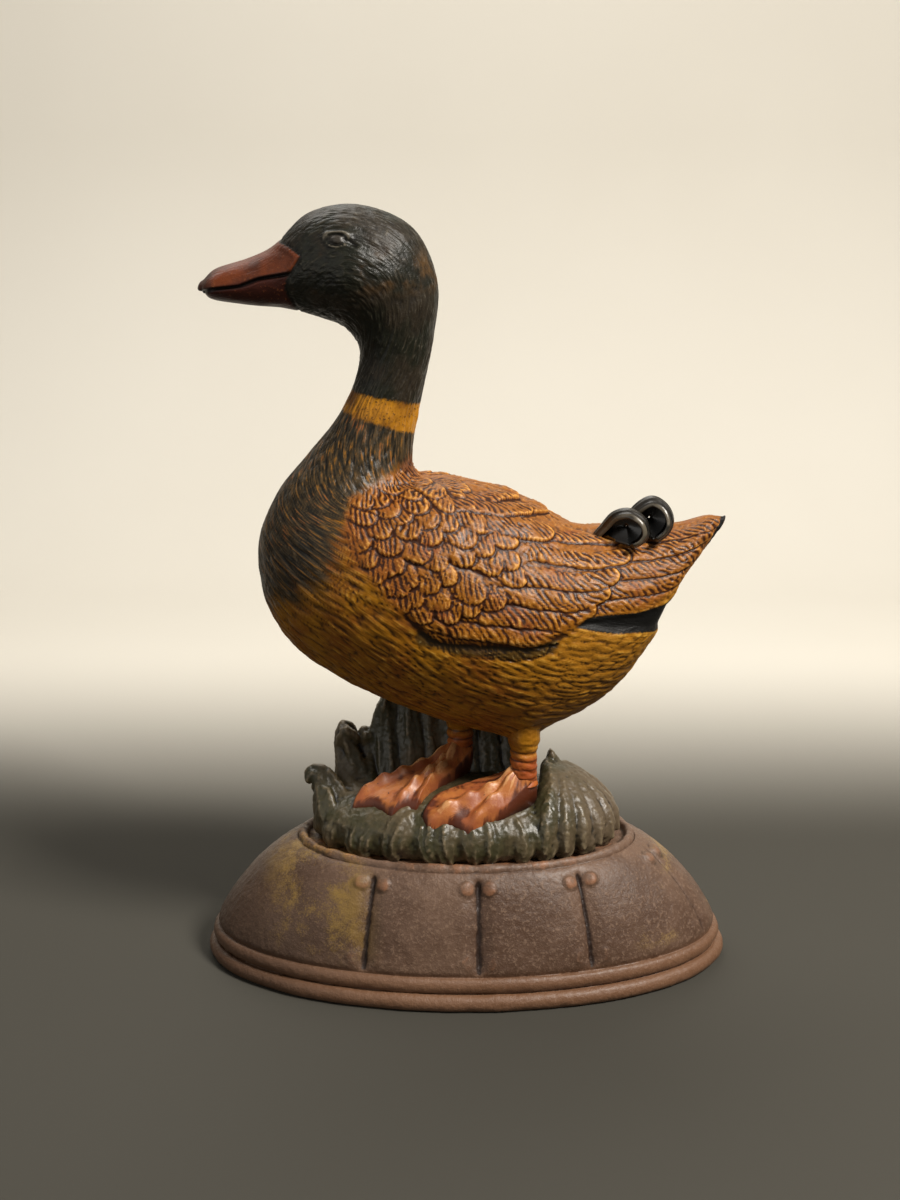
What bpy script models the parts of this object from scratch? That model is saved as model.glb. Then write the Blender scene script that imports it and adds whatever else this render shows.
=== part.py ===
"""A painted cast-iron door stop: a drake on a grass tussock, on an oval domed base.

The drake is two hollow half castings that meet on the plane y = 0 and are drawn together by three
machine screws. The tussock, with both webbed feet, is one casting that sits inside the base's collar.
Two bolts rise from under the base, through the tussock, into the drake's legs, and clamp it all.
Units are metres, +Z is up, the bill points to -X, and the origin is under the middle of the base.
"""

import math

import bmesh
import bpy
import numpy as np

# Driving dimensions
BASE_HALF_LENGTH = 0.105
BASE_HALF_WIDTH = 0.055
PLATE_TOP = 0.049
WALL = 0.0055
GAP = 0.0003

# Base: plinth mouldings, dome and collar
LOWER_MOULDING = 0.0066
UPPER_MOULDING = 0.0128
MOULDING_STEP = 0.0018
DOME_FOOT_INSET = 0.0042
COLLAR_HALF_LENGTH = 0.0676
COLLAR_HALF_WIDTH = 0.0373
COLLAR_WIDTH = 0.0040
COLLAR_RISE = 0.0030
DOME_POWER = 1.5
PANELS = 12
PANEL_CREASE = 0.0008
AROUND_BASE = 60
DOME_RINGS = 7

# Tussock: a lobed mound with a taller clump of grass behind the legs
MOUND_HALF_LENGTH = 0.0620
MOUND_HALF_WIDTH = 0.0310
MOUND_FOOT_SCALE = 0.92
MOUND_EDGE = 0.0570
MOUND_CROWN = 0.0735
CLUMP_BEHIND = 0.0150
CLUMP_SPREAD = 0.0065
# The clump's outline from the side, as x and height
CLUMP_OUTLINE = (
    (-0.066, 0.060), (-0.061, 0.076), (-0.055, 0.079), (-0.052, 0.093), (-0.046, 0.090), (-0.038, 0.091),
    (-0.034, 0.103), (-0.028, 0.106), (-0.012, 0.100), (0.018, 0.098), (0.027, 0.084), (0.035, 0.083),
    (0.041, 0.074), (0.052, 0.070), (0.060, 0.063), (0.066, 0.056),
)
MOUND_RINGS = 12
AROUND_MOUND = 60

# Drake: the back line, the throat-and-belly line and the half width at stations from bill tip to
# tail tip, as (back x, back z, front x, front z, half width)
STATIONS = (
    (-0.0966, 0.2680, -0.0960, 0.2634, 0.0045),
    (-0.0920, 0.2722, -0.0925, 0.2609, 0.0088),
    (-0.0800, 0.2760, -0.0790, 0.2590, 0.0094),
    (-0.0705, 0.2806, -0.0660, 0.2578, 0.0112),
    (-0.0575, 0.2921, -0.0525, 0.2540, 0.0168),
    (-0.0390, 0.2948, -0.0455, 0.2512, 0.0208),
    (-0.0200, 0.2866, -0.0408, 0.2455, 0.0192),
    (-0.0112, 0.2680, -0.0402, 0.2385, 0.0155),
    (-0.0125, 0.2480, -0.0430, 0.2290, 0.0138),
    (-0.0170, 0.2260, -0.0495, 0.2170, 0.0148),
    (-0.0206, 0.2068, -0.0602, 0.2040, 0.0185),
    (-0.0184, 0.1962, -0.0725, 0.1885, 0.0245),
    (-0.0050, 0.1947, -0.0800, 0.1680, 0.0315),
    (0.0105, 0.1912, -0.0758, 0.1428, 0.0362),
    (0.0260, 0.1843, -0.0592, 0.1234, 0.0380),
    (0.0400, 0.1776, -0.0260, 0.1058, 0.0372),
    (0.0540, 0.1769, 0.0140, 0.0944, 0.0335),
    (0.0680, 0.1772, 0.0482, 0.1052, 0.0265),
    (0.0810, 0.1779, 0.0684, 0.1278, 0.0190),
    (0.0905, 0.1804, 0.0790, 0.1510, 0.0125),
    (0.0974, 0.1800, 0.0956, 0.1740, 0.0030),
)
STEPS_PER_STATION = 3
AROUND_HALF = 11
BELLY_GAP = 0.0004
# The hollow runs between these stations
HOLLOW_FROM = 5
HOLLOW_TO = 18
HOLLOW_AROUND = 18

# Legs: the axis of each, as (x, y), its ankle height and its ring ridges
LEFT_LEG = (0.0220, -0.0135)
RIGHT_LEG = (-0.0025, 0.0115)
ANKLE = 0.0765
LEG_TOP = 0.1100
LEG_RADIUS = 0.0048
THIGH = 0.0985
THIGH_RADIUS = 0.0066
LEG_RIDGE = 0.0005
LEG_RIDGES = 5
RIDGE_PITCH = 0.0034
LEG_BOSS_RADIUS = 0.0075
LEG_BOSS_TOP = 0.1130

# Feet: toe tips and web notches in plan, clockwise from above
LEFT_FOOT = (
    (0.0275, -0.0150), (0.0235, -0.0195), (0.0140, -0.0245), (0.0080, -0.0265), (0.0010, -0.0298),
    (-0.0055, -0.0268), (-0.0150, -0.0278), (-0.0175, -0.0235), (-0.0130, -0.0165), (0.0010, -0.0095),
    (0.0150, -0.0060), (0.0265, -0.0095),
)
RIGHT_FOOT = (
    (0.0030, 0.0080), (-0.0060, -0.0040), (-0.0150, -0.0130), (-0.0195, -0.0205), (-0.0240, -0.0195),
    (-0.0290, -0.0218), (-0.0330, -0.0180), (-0.0370, -0.0150), (-0.0450, -0.0130), (-0.0440, -0.0095),
    (-0.0330, -0.0030), (-0.0180, 0.0070), (-0.0090, 0.0155), (0.0020, 0.0160),
)
FOOT_THICKNESS = 0.0028
FOOT_DEPTH = 0.0040
FOOT_RINGS = 4
FOOT_EDGE_STEPS = 3
ANKLE_RADIUS = 0.0054
ANKLE_FLARE = 0.0085

# Fasteners
BOLT_RADIUS = 0.0024
BOLT_TOP = 0.1020
BOLT_HEAD_SIDE = 0.0084
BOLT_HEAD_HEIGHT = 0.0036
WASHER_RADIUS = 0.0065
WASHER_THICKNESS = 0.0012
SCREW_RADIUS = 0.0022
SCREW_HEAD_RADIUS = 0.0041
SCREW_HEAD_HEIGHT = 0.0024
SCREW_SLOT_WIDTH = 0.0010
SCREW_SLOT_DEPTH = 0.0012
SCREW_BOSS_RADIUS = 0.0068
SCREW_BITE = 0.0110
# Each screw's place seen from the side, as (x, z)
SCREWS = {
    "neck_screw": (-0.0300, 0.2330),
    "breast_screw": (-0.0340, 0.1620),
    "rump_screw": (0.0500, 0.1420),
}

# Tail curls: rolled black feathers, each on a tang that goes into the left half. Each path starts
# at the root on the back and rolls over towards the tail, as (x, y, z)
CURLS = {
    "front_tail_curl": (
        (0.0505, -0.0095, 0.1778), (0.0545, -0.0125, 0.1832), (0.0597, -0.0155, 0.1850),
        (0.0645, -0.0172, 0.1822), (0.0660, -0.0180, 0.1776), (0.0640, -0.0184, 0.1742),
        (0.0602, -0.0186, 0.1722),
    ),
    "rear_tail_curl": (
        (0.0600, -0.0045, 0.1785), (0.0630, -0.0065, 0.1842), (0.0685, -0.0085, 0.1882),
        (0.0735, -0.0105, 0.1860), (0.0755, -0.0125, 0.1808), (0.0735, -0.0140, 0.1764),
        (0.0695, -0.0150, 0.1736),
    ),
}
CURL_WIDTH = 0.0090
CURL_THICKNESS = 0.0026
CURL_STEPS = 4
CURL_SIDES = 8
TANG_RADIUS = 0.0014
TANG_RISE = 0.0012
TANG_DEPTH = 0.0110

ROUND_SIDES = 24

IRON_BASE = (0.105, 0.062, 0.048)
IRON_GRASS = (0.052, 0.055, 0.038)
IRON_DUCK = (0.300, 0.150, 0.040)
IRON_BLACK = (0.018, 0.017, 0.016)
STEEL = (0.350, 0.330, 0.310)


def clear_scene():
    for item in list(bpy.data.objects):
        bpy.data.objects.remove(item, do_unlink=True)


def paint(name, colour, roughness, metallic):
    """A Principled material of one colour."""
    material = bpy.data.materials.new(name)
    material.use_nodes = True
    shader = material.node_tree.nodes["Principled BSDF"]
    shader.inputs["Base Color"].default_value = (*colour, 1.0)
    shader.inputs["Roughness"].default_value = roughness
    shader.inputs["Metallic"].default_value = metallic
    return material


def add_object(name, points, faces, material=None):
    """An object with this mesh in triangles; one with no material is a helper, not a piece."""
    mesh = bpy.data.meshes.new(name)
    mesh.from_pydata([tuple(point) for point in points], [], faces)
    form = bmesh.new()
    form.from_mesh(mesh)
    bmesh.ops.triangulate(form, faces=form.faces)
    form.to_mesh(mesh)
    form.free()
    item = bpy.data.objects.new(name, mesh)
    bpy.context.collection.objects.link(item)
    mesh.shade_smooth()
    mesh.set_sharp_from_angle(angle=math.radians(40.0))
    if material is None:
        item.hide_render = True
        item.display_type = "WIRE"
    else:
        mesh.materials.append(material)
    return item


def combine(item, other, operation):
    """Cut, join or intersect item with other, which becomes a hidden helper."""
    step = item.modifiers.new(f"{operation.lower()} {other.name}", "BOOLEAN")
    step.operation = operation
    step.solver = "EXACT"
    step.object = other
    other.hide_render = True
    other.display_type = "WIRE"


def curve_through(rows, steps):
    """Rows along the smooth curve through the given rows, with steps to each gap."""
    rows = np.array(rows)
    padded = np.vstack((2 * rows[0] - rows[1], rows, 2 * rows[-1] - rows[-2]))
    result = []
    for index in range(len(rows) - 1):
        before, start, end, after = padded[index:index + 4]
        for step in range(steps):
            t = step / steps
            linear = (end - before) * t
            square = (2 * before - 5 * start + 4 * end - after) * t**2
            cube = (3 * start - before - 3 * end + after) * t**3
            result.append((2 * start + linear + square + cube) / 2)
    result.append(rows[-1])
    return np.array(result)


def loft(loops):
    """Points and faces of a closed body through loops of equal length, capped at both ends."""
    count = len(loops[0])
    points = [point for loop in loops for point in loop]
    faces = []
    for row in range(len(loops) - 1):
        for index in range(count):
            after = (index + 1) % count
            near = row * count
            far = near + count
            faces.append((near + index, far + index, far + after, near + after))
    faces.append(tuple(range(count)))
    faces.append(tuple(reversed(range(len(points) - count, len(points)))))
    return points, faces


def turned(name, profile, centre, sides=ROUND_SIDES, material=None):
    """A body turned about a vertical axis from (radius, z) points, bottom to top."""
    loops = []
    for radius, z in profile:
        loop = []
        for index in range(sides):
            angle = -2 * math.pi * index / sides
            loop.append((centre[0] + radius * math.cos(angle), centre[1] + radius * math.sin(angle), z))
        loops.append(loop)
    return add_object(name, *loft(loops), material)


def rod(name, radius, start, end, sides=ROUND_SIDES):
    """A cylinder along Y between two y values, as a helper; start and end are (x, y, z)."""
    loops = []
    for centre in (start, end):
        loop = []
        for index in range(sides):
            angle = 2 * math.pi * index / sides
            loop.append((centre[0] + radius * math.cos(angle), centre[1], centre[2] + radius * math.sin(angle)))
        loops.append(loop)
    return add_object(name, *loft(loops))


# Drake

def drake_section(row, inset, angle):
    """A point on the section at this station: angle 0 is the back line, pi the belly line."""
    back = row[0:2]
    front = row[2:4]
    middle = (back + front) / 2
    reach = (back - front) / 2
    length = float(np.hypot(*reach))
    place = middle + reach * (1 - inset / length) * math.cos(angle)
    return place[0], (row[4] - inset) * math.sin(angle), place[1]


def drake_rows():
    return curve_through(STATIONS, STEPS_PER_STATION)


def half_drake(name, side, material):
    """One half of the drake's body, solid, with its flat face just off the plane y = 0."""
    loops = []
    for row in drake_rows():
        loop = []
        for index in range(AROUND_HALF + 1):
            x, y, z = drake_section(row, 0.0, math.pi * index / AROUND_HALF)
            loop.append((x, side * (y + GAP / 2), z))
        if side < 0:
            loop.reverse()
        loops.append(loop)
    return add_object(name, *loft(loops), material)


def whole_drake(name, inset, first, last, around):
    """A helper with the drake's form between two stations, grown or shrunk by inset."""
    rows = drake_rows()[first * STEPS_PER_STATION:last * STEPS_PER_STATION + 1]
    loops = []
    for row in rows:
        loops.append([drake_section(row, inset, 2 * math.pi * index / around) for index in range(around)])
    return add_object(name, *loft(loops))


def skin_at(x, z):
    """The half width of the drake at a place seen from the side."""
    steps = 60
    best = (1.0, 0.0)
    for row in curve_through(STATIONS, 8):
        for index in range(steps + 1):
            point = drake_section(row, 0.0, math.pi * index / steps)
            distance = math.hypot(point[0] - x, point[2] - z)
            best = min(best, (distance, point[1]))
    return best[1]


def leg(name, centre):
    """A leg with ring ridges, from its flat ankle up into the body."""
    profile = [(LEG_RADIUS - LEG_RIDGE, ANKLE + GAP)]
    for ridge in range(LEG_RIDGES):
        z = ANKLE + GAP + RIDGE_PITCH * ridge
        profile.append((LEG_RADIUS + LEG_RIDGE, z + RIDGE_PITCH / 2))
        profile.append((LEG_RADIUS - LEG_RIDGE, z + RIDGE_PITCH))
    profile.append((THIGH_RADIUS, THIGH))
    profile.append((THIGH_RADIUS, LEG_TOP))
    return turned(name, profile, centre)


def drake_hollow():
    """The space inside both halves, less the bosses for the screws and the leg bolts."""
    hollow = whole_drake("drake_hollow", WALL, HOLLOW_FROM, HOLLOW_TO, HOLLOW_AROUND)
    for name, (x, z) in SCREWS.items():
        reach = 2 * BASE_HALF_WIDTH
        boss = rod(f"{name}_boss", SCREW_BOSS_RADIUS, (x, -reach, z), (x, reach, z), ROUND_SIDES // 2)
        combine(hollow, boss, "DIFFERENCE")
    for name, centre in (("left_leg_boss", LEFT_LEG), ("right_leg_boss", RIGHT_LEG)):
        profile = ((LEG_BOSS_RADIUS, MOUND_CROWN), (LEG_BOSS_RADIUS, LEG_BOSS_TOP))
        combine(hollow, turned(name, profile, centre, ROUND_SIDES // 2), "DIFFERENCE")
    return hollow


def drake_castings(material):
    hollow = drake_hollow()
    left = half_drake("duck_left_casting", -1, material)
    right = half_drake("duck_right_casting", 1, material)
    for half, centre in ((left, LEFT_LEG), (right, RIGHT_LEG)):
        combine(half, leg(f"{half.name}_leg", centre), "UNION")
        combine(half, hollow, "DIFFERENCE")
        bore = ((BOLT_RADIUS + GAP, ANKLE - WALL), (BOLT_RADIUS + GAP, BOLT_TOP + GAP))
        combine(half, turned(f"{half.name}_bolt_bore", bore, centre, ROUND_SIDES // 2), "DIFFERENCE")
    for name, (x, z) in SCREWS.items():
        skin = skin_at(x, z)
        shank = rod(f"{name}_bore", SCREW_RADIUS + GAP, (x, -SCREW_BITE - GAP, z), (x, skin, z), ROUND_SIDES // 2)
        seat = skin - SCREW_HEAD_HEIGHT - GAP
        outside = skin + SCREW_HEAD_HEIGHT
        head = rod(f"{name}_counterbore", SCREW_HEAD_RADIUS + GAP, (x, seat, z), (x, outside, z))
        combine(left, shank, "DIFFERENCE")
        combine(right, shank, "DIFFERENCE")
        combine(right, head, "DIFFERENCE")
    for name, path in CURLS.items():
        combine(left, tang(f"{name}_hole", path[0], GAP), "DIFFERENCE")


# Fasteners

def slotted_screw(name, x, z, material):
    """A cheese-headed screw along Y, its slotted head in the right half's skin."""
    skin = skin_at(x, z)
    seat = skin - SCREW_HEAD_HEIGHT
    profile = ((SCREW_RADIUS, -SCREW_BITE), (SCREW_RADIUS, seat), (SCREW_HEAD_RADIUS, seat), (SCREW_HEAD_RADIUS, skin))
    loops = []
    for radius, y in profile:
        loop = []
        for index in range(ROUND_SIDES):
            angle = 2 * math.pi * index / ROUND_SIDES
            loop.append((x + radius * math.cos(angle), y, z + radius * math.sin(angle)))
        loops.append(loop)
    screw = add_object(name, *loft(loops), material)
    combine(screw, screw_slot(name, x, skin, z), "DIFFERENCE")


def screw_slot(name, x, skin, z):
    half = SCREW_SLOT_WIDTH / 2
    reach = 2 * SCREW_HEAD_RADIUS
    loops = []
    for y in (skin - SCREW_SLOT_DEPTH, skin + SCREW_SLOT_DEPTH):
        loops.append([(x + reach, y, z - half), (x + reach, y, z + half), (x - reach, y, z + half), (x - reach, y, z - half)])
    return add_object(f"{name}_slot", *loft(loops))


def leg_bolt(name, centre, material):
    """A square-headed bolt with its washer, from under the base's plate up into a leg."""
    head_top = PLATE_TOP - WALL - WASHER_THICKNESS - 2 * GAP
    head = []
    for z in (head_top - BOLT_HEAD_HEIGHT, head_top):
        corners = ((1, 1), (1, -1), (-1, -1), (-1, 1))
        half = BOLT_HEAD_SIDE / 2
        head.append([(centre[0] + sx * half, centre[1] + sy * half, z) for sx, sy in corners])
    bolt = add_object(name, *loft(head), material)
    shank = ((BOLT_RADIUS, head_top - BOLT_HEAD_HEIGHT / 2), (BOLT_RADIUS, BOLT_TOP))
    combine(bolt, turned(f"{name}_shank", shank, centre), "UNION")


def washer(name, centre, material):
    top = PLATE_TOP - WALL - GAP
    bottom = top - WASHER_THICKNESS
    disc = turned(name, ((WASHER_RADIUS, bottom), (WASHER_RADIUS, top)), centre, material=material)
    bore = ((BOLT_RADIUS + GAP, bottom - GAP), (BOLT_RADIUS + GAP, top + GAP))
    combine(disc, turned(f"{name}_bore", bore, centre), "DIFFERENCE")


# Tail curls

def curl_roll(name, path, material):
    """A strip of feather rolled along a path, thinning towards both ends."""
    spine = curve_through(path, CURL_STEPS)
    loops = []
    for step, place in enumerate(spine):
        after = spine[min(step + 1, len(spine) - 1)]
        before = spine[max(step - 1, 0)]
        run = math.atan2(after[2] - before[2], after[0] - before[0])
        swell = 0.5 + 0.5 * math.sin(math.pi * step / (len(spine) - 1)) ** 0.5
        loop = []
        for index in range(CURL_SIDES):
            turn = -2 * math.pi * index / CURL_SIDES
            out = CURL_THICKNESS / 2 * swell * math.cos(turn)
            across = CURL_WIDTH / 2 * swell * math.sin(turn)
            loop.append((place[0] - out * math.sin(run), place[1] + across, place[2] + out * math.cos(run)))
        loops.append(loop)
    return add_object(name, *loft(loops), material)


def tang(name, root, extra):
    """The pin under a curl that goes down into the drake's back."""
    top = root[2] + TANG_RISE
    bottom = root[2] - TANG_DEPTH - extra
    profile = ((TANG_RADIUS + extra, bottom), (TANG_RADIUS + extra, top + extra))
    return turned(name, profile, root, ROUND_SIDES // 2)


def tail_curls(material):
    clearance = whole_drake("curl_clearance", -BELLY_GAP, 14, len(STATIONS) - 1, 2 * AROUND_HALF)
    for name, path in CURLS.items():
        curl = curl_roll(name, path, material)
        combine(curl, clearance, "DIFFERENCE")
        combine(curl, tang(f"{name}_tang", path[0], 0.0), "UNION")


# Tussock

def clump_height(x):
    """Height of the tall clump's outline at x."""
    xs = [point[0] for point in CLUMP_OUTLINE]
    zs = [point[1] for point in CLUMP_OUTLINE]
    return float(np.interp(x, xs, zs))


def mound_height(x, y):
    """Height of the tussock's surface: a rounded mound, with the clump along its back."""
    radius = min(math.hypot(x / MOUND_HALF_LENGTH, y / MOUND_HALF_WIDTH), 1.0)
    mound = MOUND_EDGE + (MOUND_CROWN - MOUND_EDGE) * (1 - radius**2.4) ** 0.6
    crest = CLUMP_BEHIND * math.sqrt(max(0.0, 1 - (x / MOUND_HALF_LENGTH) ** 2))
    near = math.exp(-((y - crest) / CLUMP_SPREAD) ** 4)
    return mound + max(0.0, clump_height(x) - mound) * near


def mound_loop(scale, z=None):
    """A loop around the mound at this share of its size, on its surface or at height z."""
    loop = []
    for index in range(AROUND_MOUND):
        angle = -2 * math.pi * index / AROUND_MOUND
        x = MOUND_HALF_LENGTH * scale * math.cos(angle)
        y = MOUND_HALF_WIDTH * scale * math.sin(angle)
        loop.append((x, y, mound_height(x, y) if z is None else z))
    return loop


def foot(name, outline, ankle):
    """A webbed foot draped over the mound."""
    centre = np.array(ankle)
    corners = np.array(outline)
    points = []
    for corner, after in zip(corners, np.roll(corners, -1, axis=0)):
        for step in range(FOOT_EDGE_STEPS):
            points.append(corner + (after - corner) * step / FOOT_EDGE_STEPS)
    shares = [(ring + 1) / FOOT_RINGS for ring in range(FOOT_RINGS)]
    levels = [(share, -FOOT_DEPTH) for share in shares] + [(share, FOOT_THICKNESS) for share in reversed(shares)]
    loops = []
    for share, lift in levels:
        places = [centre + (point - centre) * share for point in points]
        loops.append([(x, y, mound_height(x, y) + lift) for x, y in places])
    return add_object(name, *loft(loops))


def tussock(material):
    foot_z = PLATE_TOP + GAP
    loops = [mound_loop(MOUND_FOOT_SCALE, foot_z), mound_loop(1.0, MOUND_EDGE - WALL / 2)]
    for ring in range(MOUND_RINGS):
        loops.append(mound_loop(1 - ring / MOUND_RINGS))
    casting = add_object("ground_casting", *loft(loops), material)
    for side, outline, ankle in (("left", LEFT_FOOT, LEFT_LEG), ("right", RIGHT_FOOT, RIGHT_LEG)):
        combine(casting, foot(f"{side}_foot", outline, ankle), "UNION")
        pedestal = ((ANKLE_FLARE, foot_z + WALL), (ANKLE_FLARE, MOUND_CROWN - WALL), (ANKLE_RADIUS, ANKLE + GAP))
        combine(casting, turned(f"{side}_ankle", pedestal, ankle), "UNION")
        shin = ((LEG_BOSS_RADIUS, ANKLE), (LEG_BOSS_RADIUS, LEG_TOP))
        combine(casting, turned(f"{side}_shin_room", shin, ankle, ROUND_SIDES), "DIFFERENCE")
        bore = ((BOLT_RADIUS + GAP, foot_z - WALL), (BOLT_RADIUS + GAP, ANKLE + WALL))
        combine(casting, turned(f"{side}_foot_bore", bore, ankle, ROUND_SIDES // 2), "DIFFERENCE")
    belly = whole_drake("belly_clearance", -BELLY_GAP, 11, 18, 2 * AROUND_HALF)
    combine(casting, belly, "DIFFERENCE")


# Base

def oval(half_length, half_width, z, crease=0.0):
    """A loop around the base, drawn in a little at each joint between panels."""
    loop = []
    for index in range(AROUND_BASE):
        angle = -2 * math.pi * index / AROUND_BASE
        at_joint = index % (AROUND_BASE // PANELS) == 0
        pull = crease if at_joint else 0.0
        x = (half_length - pull) * math.cos(angle)
        y = (half_width - pull) * math.sin(angle)
        loop.append((x, y, z))
    return loop


def inset_oval(inset, z):
    return oval(BASE_HALF_LENGTH - inset, BASE_HALF_WIDTH - inset, z)


def dome_loops(shrink, low, rings, crease):
    """Loops up the dome from its foot at height low, drawn in by shrink for the inside."""
    foot_length = BASE_HALF_LENGTH - DOME_FOOT_INSET - shrink
    foot_width = BASE_HALF_WIDTH - DOME_FOOT_INSET - shrink
    top_length = COLLAR_HALF_LENGTH - shrink
    top_width = COLLAR_HALF_WIDTH - shrink
    top = PLATE_TOP - shrink
    loops = []
    for ring in range(rings + 1):
        turn = math.pi / 2 * ring / rings
        out = math.cos(turn) ** (2 / DOME_POWER)
        up = math.sin(turn) ** (2 / DOME_POWER)
        length = top_length + (foot_length - top_length) * out
        width = top_width + (foot_width - top_width) * out
        inner = 0 < ring < rings
        loops.append(oval(length, width, low + (top - low) * up, crease if inner else 0.0))
    return loops


def base_casting(material):
    """The hollow base: two plinth mouldings, a panelled dome, and a collar round a flat plate."""
    lower = LOWER_MOULDING
    upper = UPPER_MOULDING
    loops = [
        oval(BASE_HALF_LENGTH - WALL - DOME_FOOT_INSET, BASE_HALF_WIDTH - WALL - DOME_FOOT_INSET, 0.0),
        inset_oval(MOULDING_STEP, 0.0),
        inset_oval(0.0, lower * 0.3),
        inset_oval(0.0, lower * 0.7),
        inset_oval(MOULDING_STEP, lower),
        inset_oval(MOULDING_STEP * 0.7, lower + (upper - lower) * 0.4),
        inset_oval(MOULDING_STEP, lower + (upper - lower) * 0.75),
    ]
    loops += dome_loops(0.0, upper, DOME_RINGS, PANEL_CREASE)
    for share, rise in ((0.0, 0.55), (0.5, 1.0), (1.0, 0.55), (1.0, 0.0)):
        length = COLLAR_HALF_LENGTH - COLLAR_WIDTH * share
        width = COLLAR_HALF_WIDTH - COLLAR_WIDTH * share
        loops.append(oval(length, width, PLATE_TOP + COLLAR_RISE * rise))
    casting = add_object("base_casting", *loft(loops), material)
    hollow_loops = [oval(BASE_HALF_LENGTH - WALL - DOME_FOOT_INSET, BASE_HALF_WIDTH - WALL - DOME_FOOT_INSET, -WALL)]
    hollow_loops += dome_loops(WALL, upper - WALL, DOME_RINGS - 2, 0.0)
    combine(casting, add_object("base_hollow", *loft(hollow_loops)), "DIFFERENCE")
    for side, centre in (("left", LEFT_LEG), ("right", RIGHT_LEG)):
        bore = ((BOLT_RADIUS + GAP, PLATE_TOP - 2 * WALL), (BOLT_RADIUS + GAP, PLATE_TOP + WALL))
        combine(casting, turned(f"{side}_base_bore", bore, centre), "DIFFERENCE")


def build():
    clear_scene()
    duck_paint = paint("duck_paint", IRON_DUCK, 0.55, 0.0)
    grass_paint = paint("grass_paint", IRON_GRASS, 0.60, 0.0)
    base_paint = paint("base_paint", IRON_BASE, 0.60, 0.0)
    curl_paint = paint("curl_paint", IRON_BLACK, 0.35, 0.0)
    steel = paint("screw_steel", STEEL, 0.45, 1.0)
    base_casting(base_paint)
    tussock(grass_paint)
    drake_castings(duck_paint)
    tail_curls(curl_paint)
    for name, (x, z) in SCREWS.items():
        slotted_screw(name, x, z, steel)
    for side, centre in (("left", LEFT_LEG), ("right", RIGHT_LEG)):
        leg_bolt(f"{side}_leg_bolt", centre, steel)
        washer(f"{side}_bolt_washer", centre, steel)


build()
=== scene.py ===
"""Looks for a painted cast-iron door stop: a drake on a grass tussock, on an oval riveted base.

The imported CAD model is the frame. Each casting and curl is built again here at fine resolution, on the
same driving dimensions, with its feathers, leaves, panels and casting grain as real geometry. The screws,
bolts and washers stay as their CAD nodes with a steel finish. Units are metres, +Z is up and the bill
points to -X.
"""

import math

import bpy
import numpy as np
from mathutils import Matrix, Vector


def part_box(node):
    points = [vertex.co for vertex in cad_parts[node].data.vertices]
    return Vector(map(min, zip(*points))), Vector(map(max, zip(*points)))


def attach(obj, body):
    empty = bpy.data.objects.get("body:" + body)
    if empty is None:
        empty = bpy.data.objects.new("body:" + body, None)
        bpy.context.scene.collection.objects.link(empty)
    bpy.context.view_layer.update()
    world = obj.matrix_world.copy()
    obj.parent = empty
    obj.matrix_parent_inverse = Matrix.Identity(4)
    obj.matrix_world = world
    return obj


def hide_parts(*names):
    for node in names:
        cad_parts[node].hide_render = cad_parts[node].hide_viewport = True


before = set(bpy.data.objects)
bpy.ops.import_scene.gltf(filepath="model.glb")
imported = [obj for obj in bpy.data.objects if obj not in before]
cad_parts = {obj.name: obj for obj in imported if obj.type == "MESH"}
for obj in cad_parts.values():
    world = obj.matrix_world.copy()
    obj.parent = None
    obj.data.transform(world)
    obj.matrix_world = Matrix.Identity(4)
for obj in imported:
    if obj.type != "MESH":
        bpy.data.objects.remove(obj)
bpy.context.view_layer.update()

MM = 0.001
GAP = 0.0003
WALL = 0.0055

# Drake: back x, back z, front x, front z and half width at stations from bill tip to tail tip
STATIONS = (
    (-0.0966, 0.2680, -0.0960, 0.2634, 0.0045),
    (-0.0920, 0.2722, -0.0925, 0.2609, 0.0088),
    (-0.0800, 0.2760, -0.0790, 0.2590, 0.0094),
    (-0.0705, 0.2806, -0.0660, 0.2578, 0.0112),
    (-0.0575, 0.2921, -0.0525, 0.2540, 0.0168),
    (-0.0390, 0.2948, -0.0455, 0.2512, 0.0208),
    (-0.0200, 0.2866, -0.0408, 0.2455, 0.0192),
    (-0.0112, 0.2680, -0.0402, 0.2385, 0.0155),
    (-0.0125, 0.2480, -0.0430, 0.2290, 0.0138),
    (-0.0170, 0.2260, -0.0495, 0.2170, 0.0148),
    (-0.0206, 0.2068, -0.0602, 0.2040, 0.0185),
    (-0.0184, 0.1962, -0.0725, 0.1885, 0.0245),
    (-0.0050, 0.1947, -0.0800, 0.1680, 0.0315),
    (0.0105, 0.1912, -0.0758, 0.1428, 0.0362),
    (0.0260, 0.1843, -0.0592, 0.1234, 0.0380),
    (0.0400, 0.1776, -0.0260, 0.1058, 0.0372),
    (0.0540, 0.1769, 0.0140, 0.0944, 0.0335),
    (0.0680, 0.1772, 0.0482, 0.1052, 0.0265),
    (0.0810, 0.1779, 0.0684, 0.1278, 0.0190),
    (0.0905, 0.1804, 0.0790, 0.1510, 0.0125),
    (0.0974, 0.1800, 0.0956, 0.1740, 0.0030),
)
ROWS = 424
COLUMNS = 200
INNER_COLUMNS = 10
TIP_ROWS = 6
# How closely the sections lie, as (station, weight): the wing and tail have the most
CLOSENESS = ((0, 0.9), (5, 1.1), (8, 0.8), (12, 1.3), (20, 1.3))
HOLLOW_FROM = 5
HOLLOW_TO = 18

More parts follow.
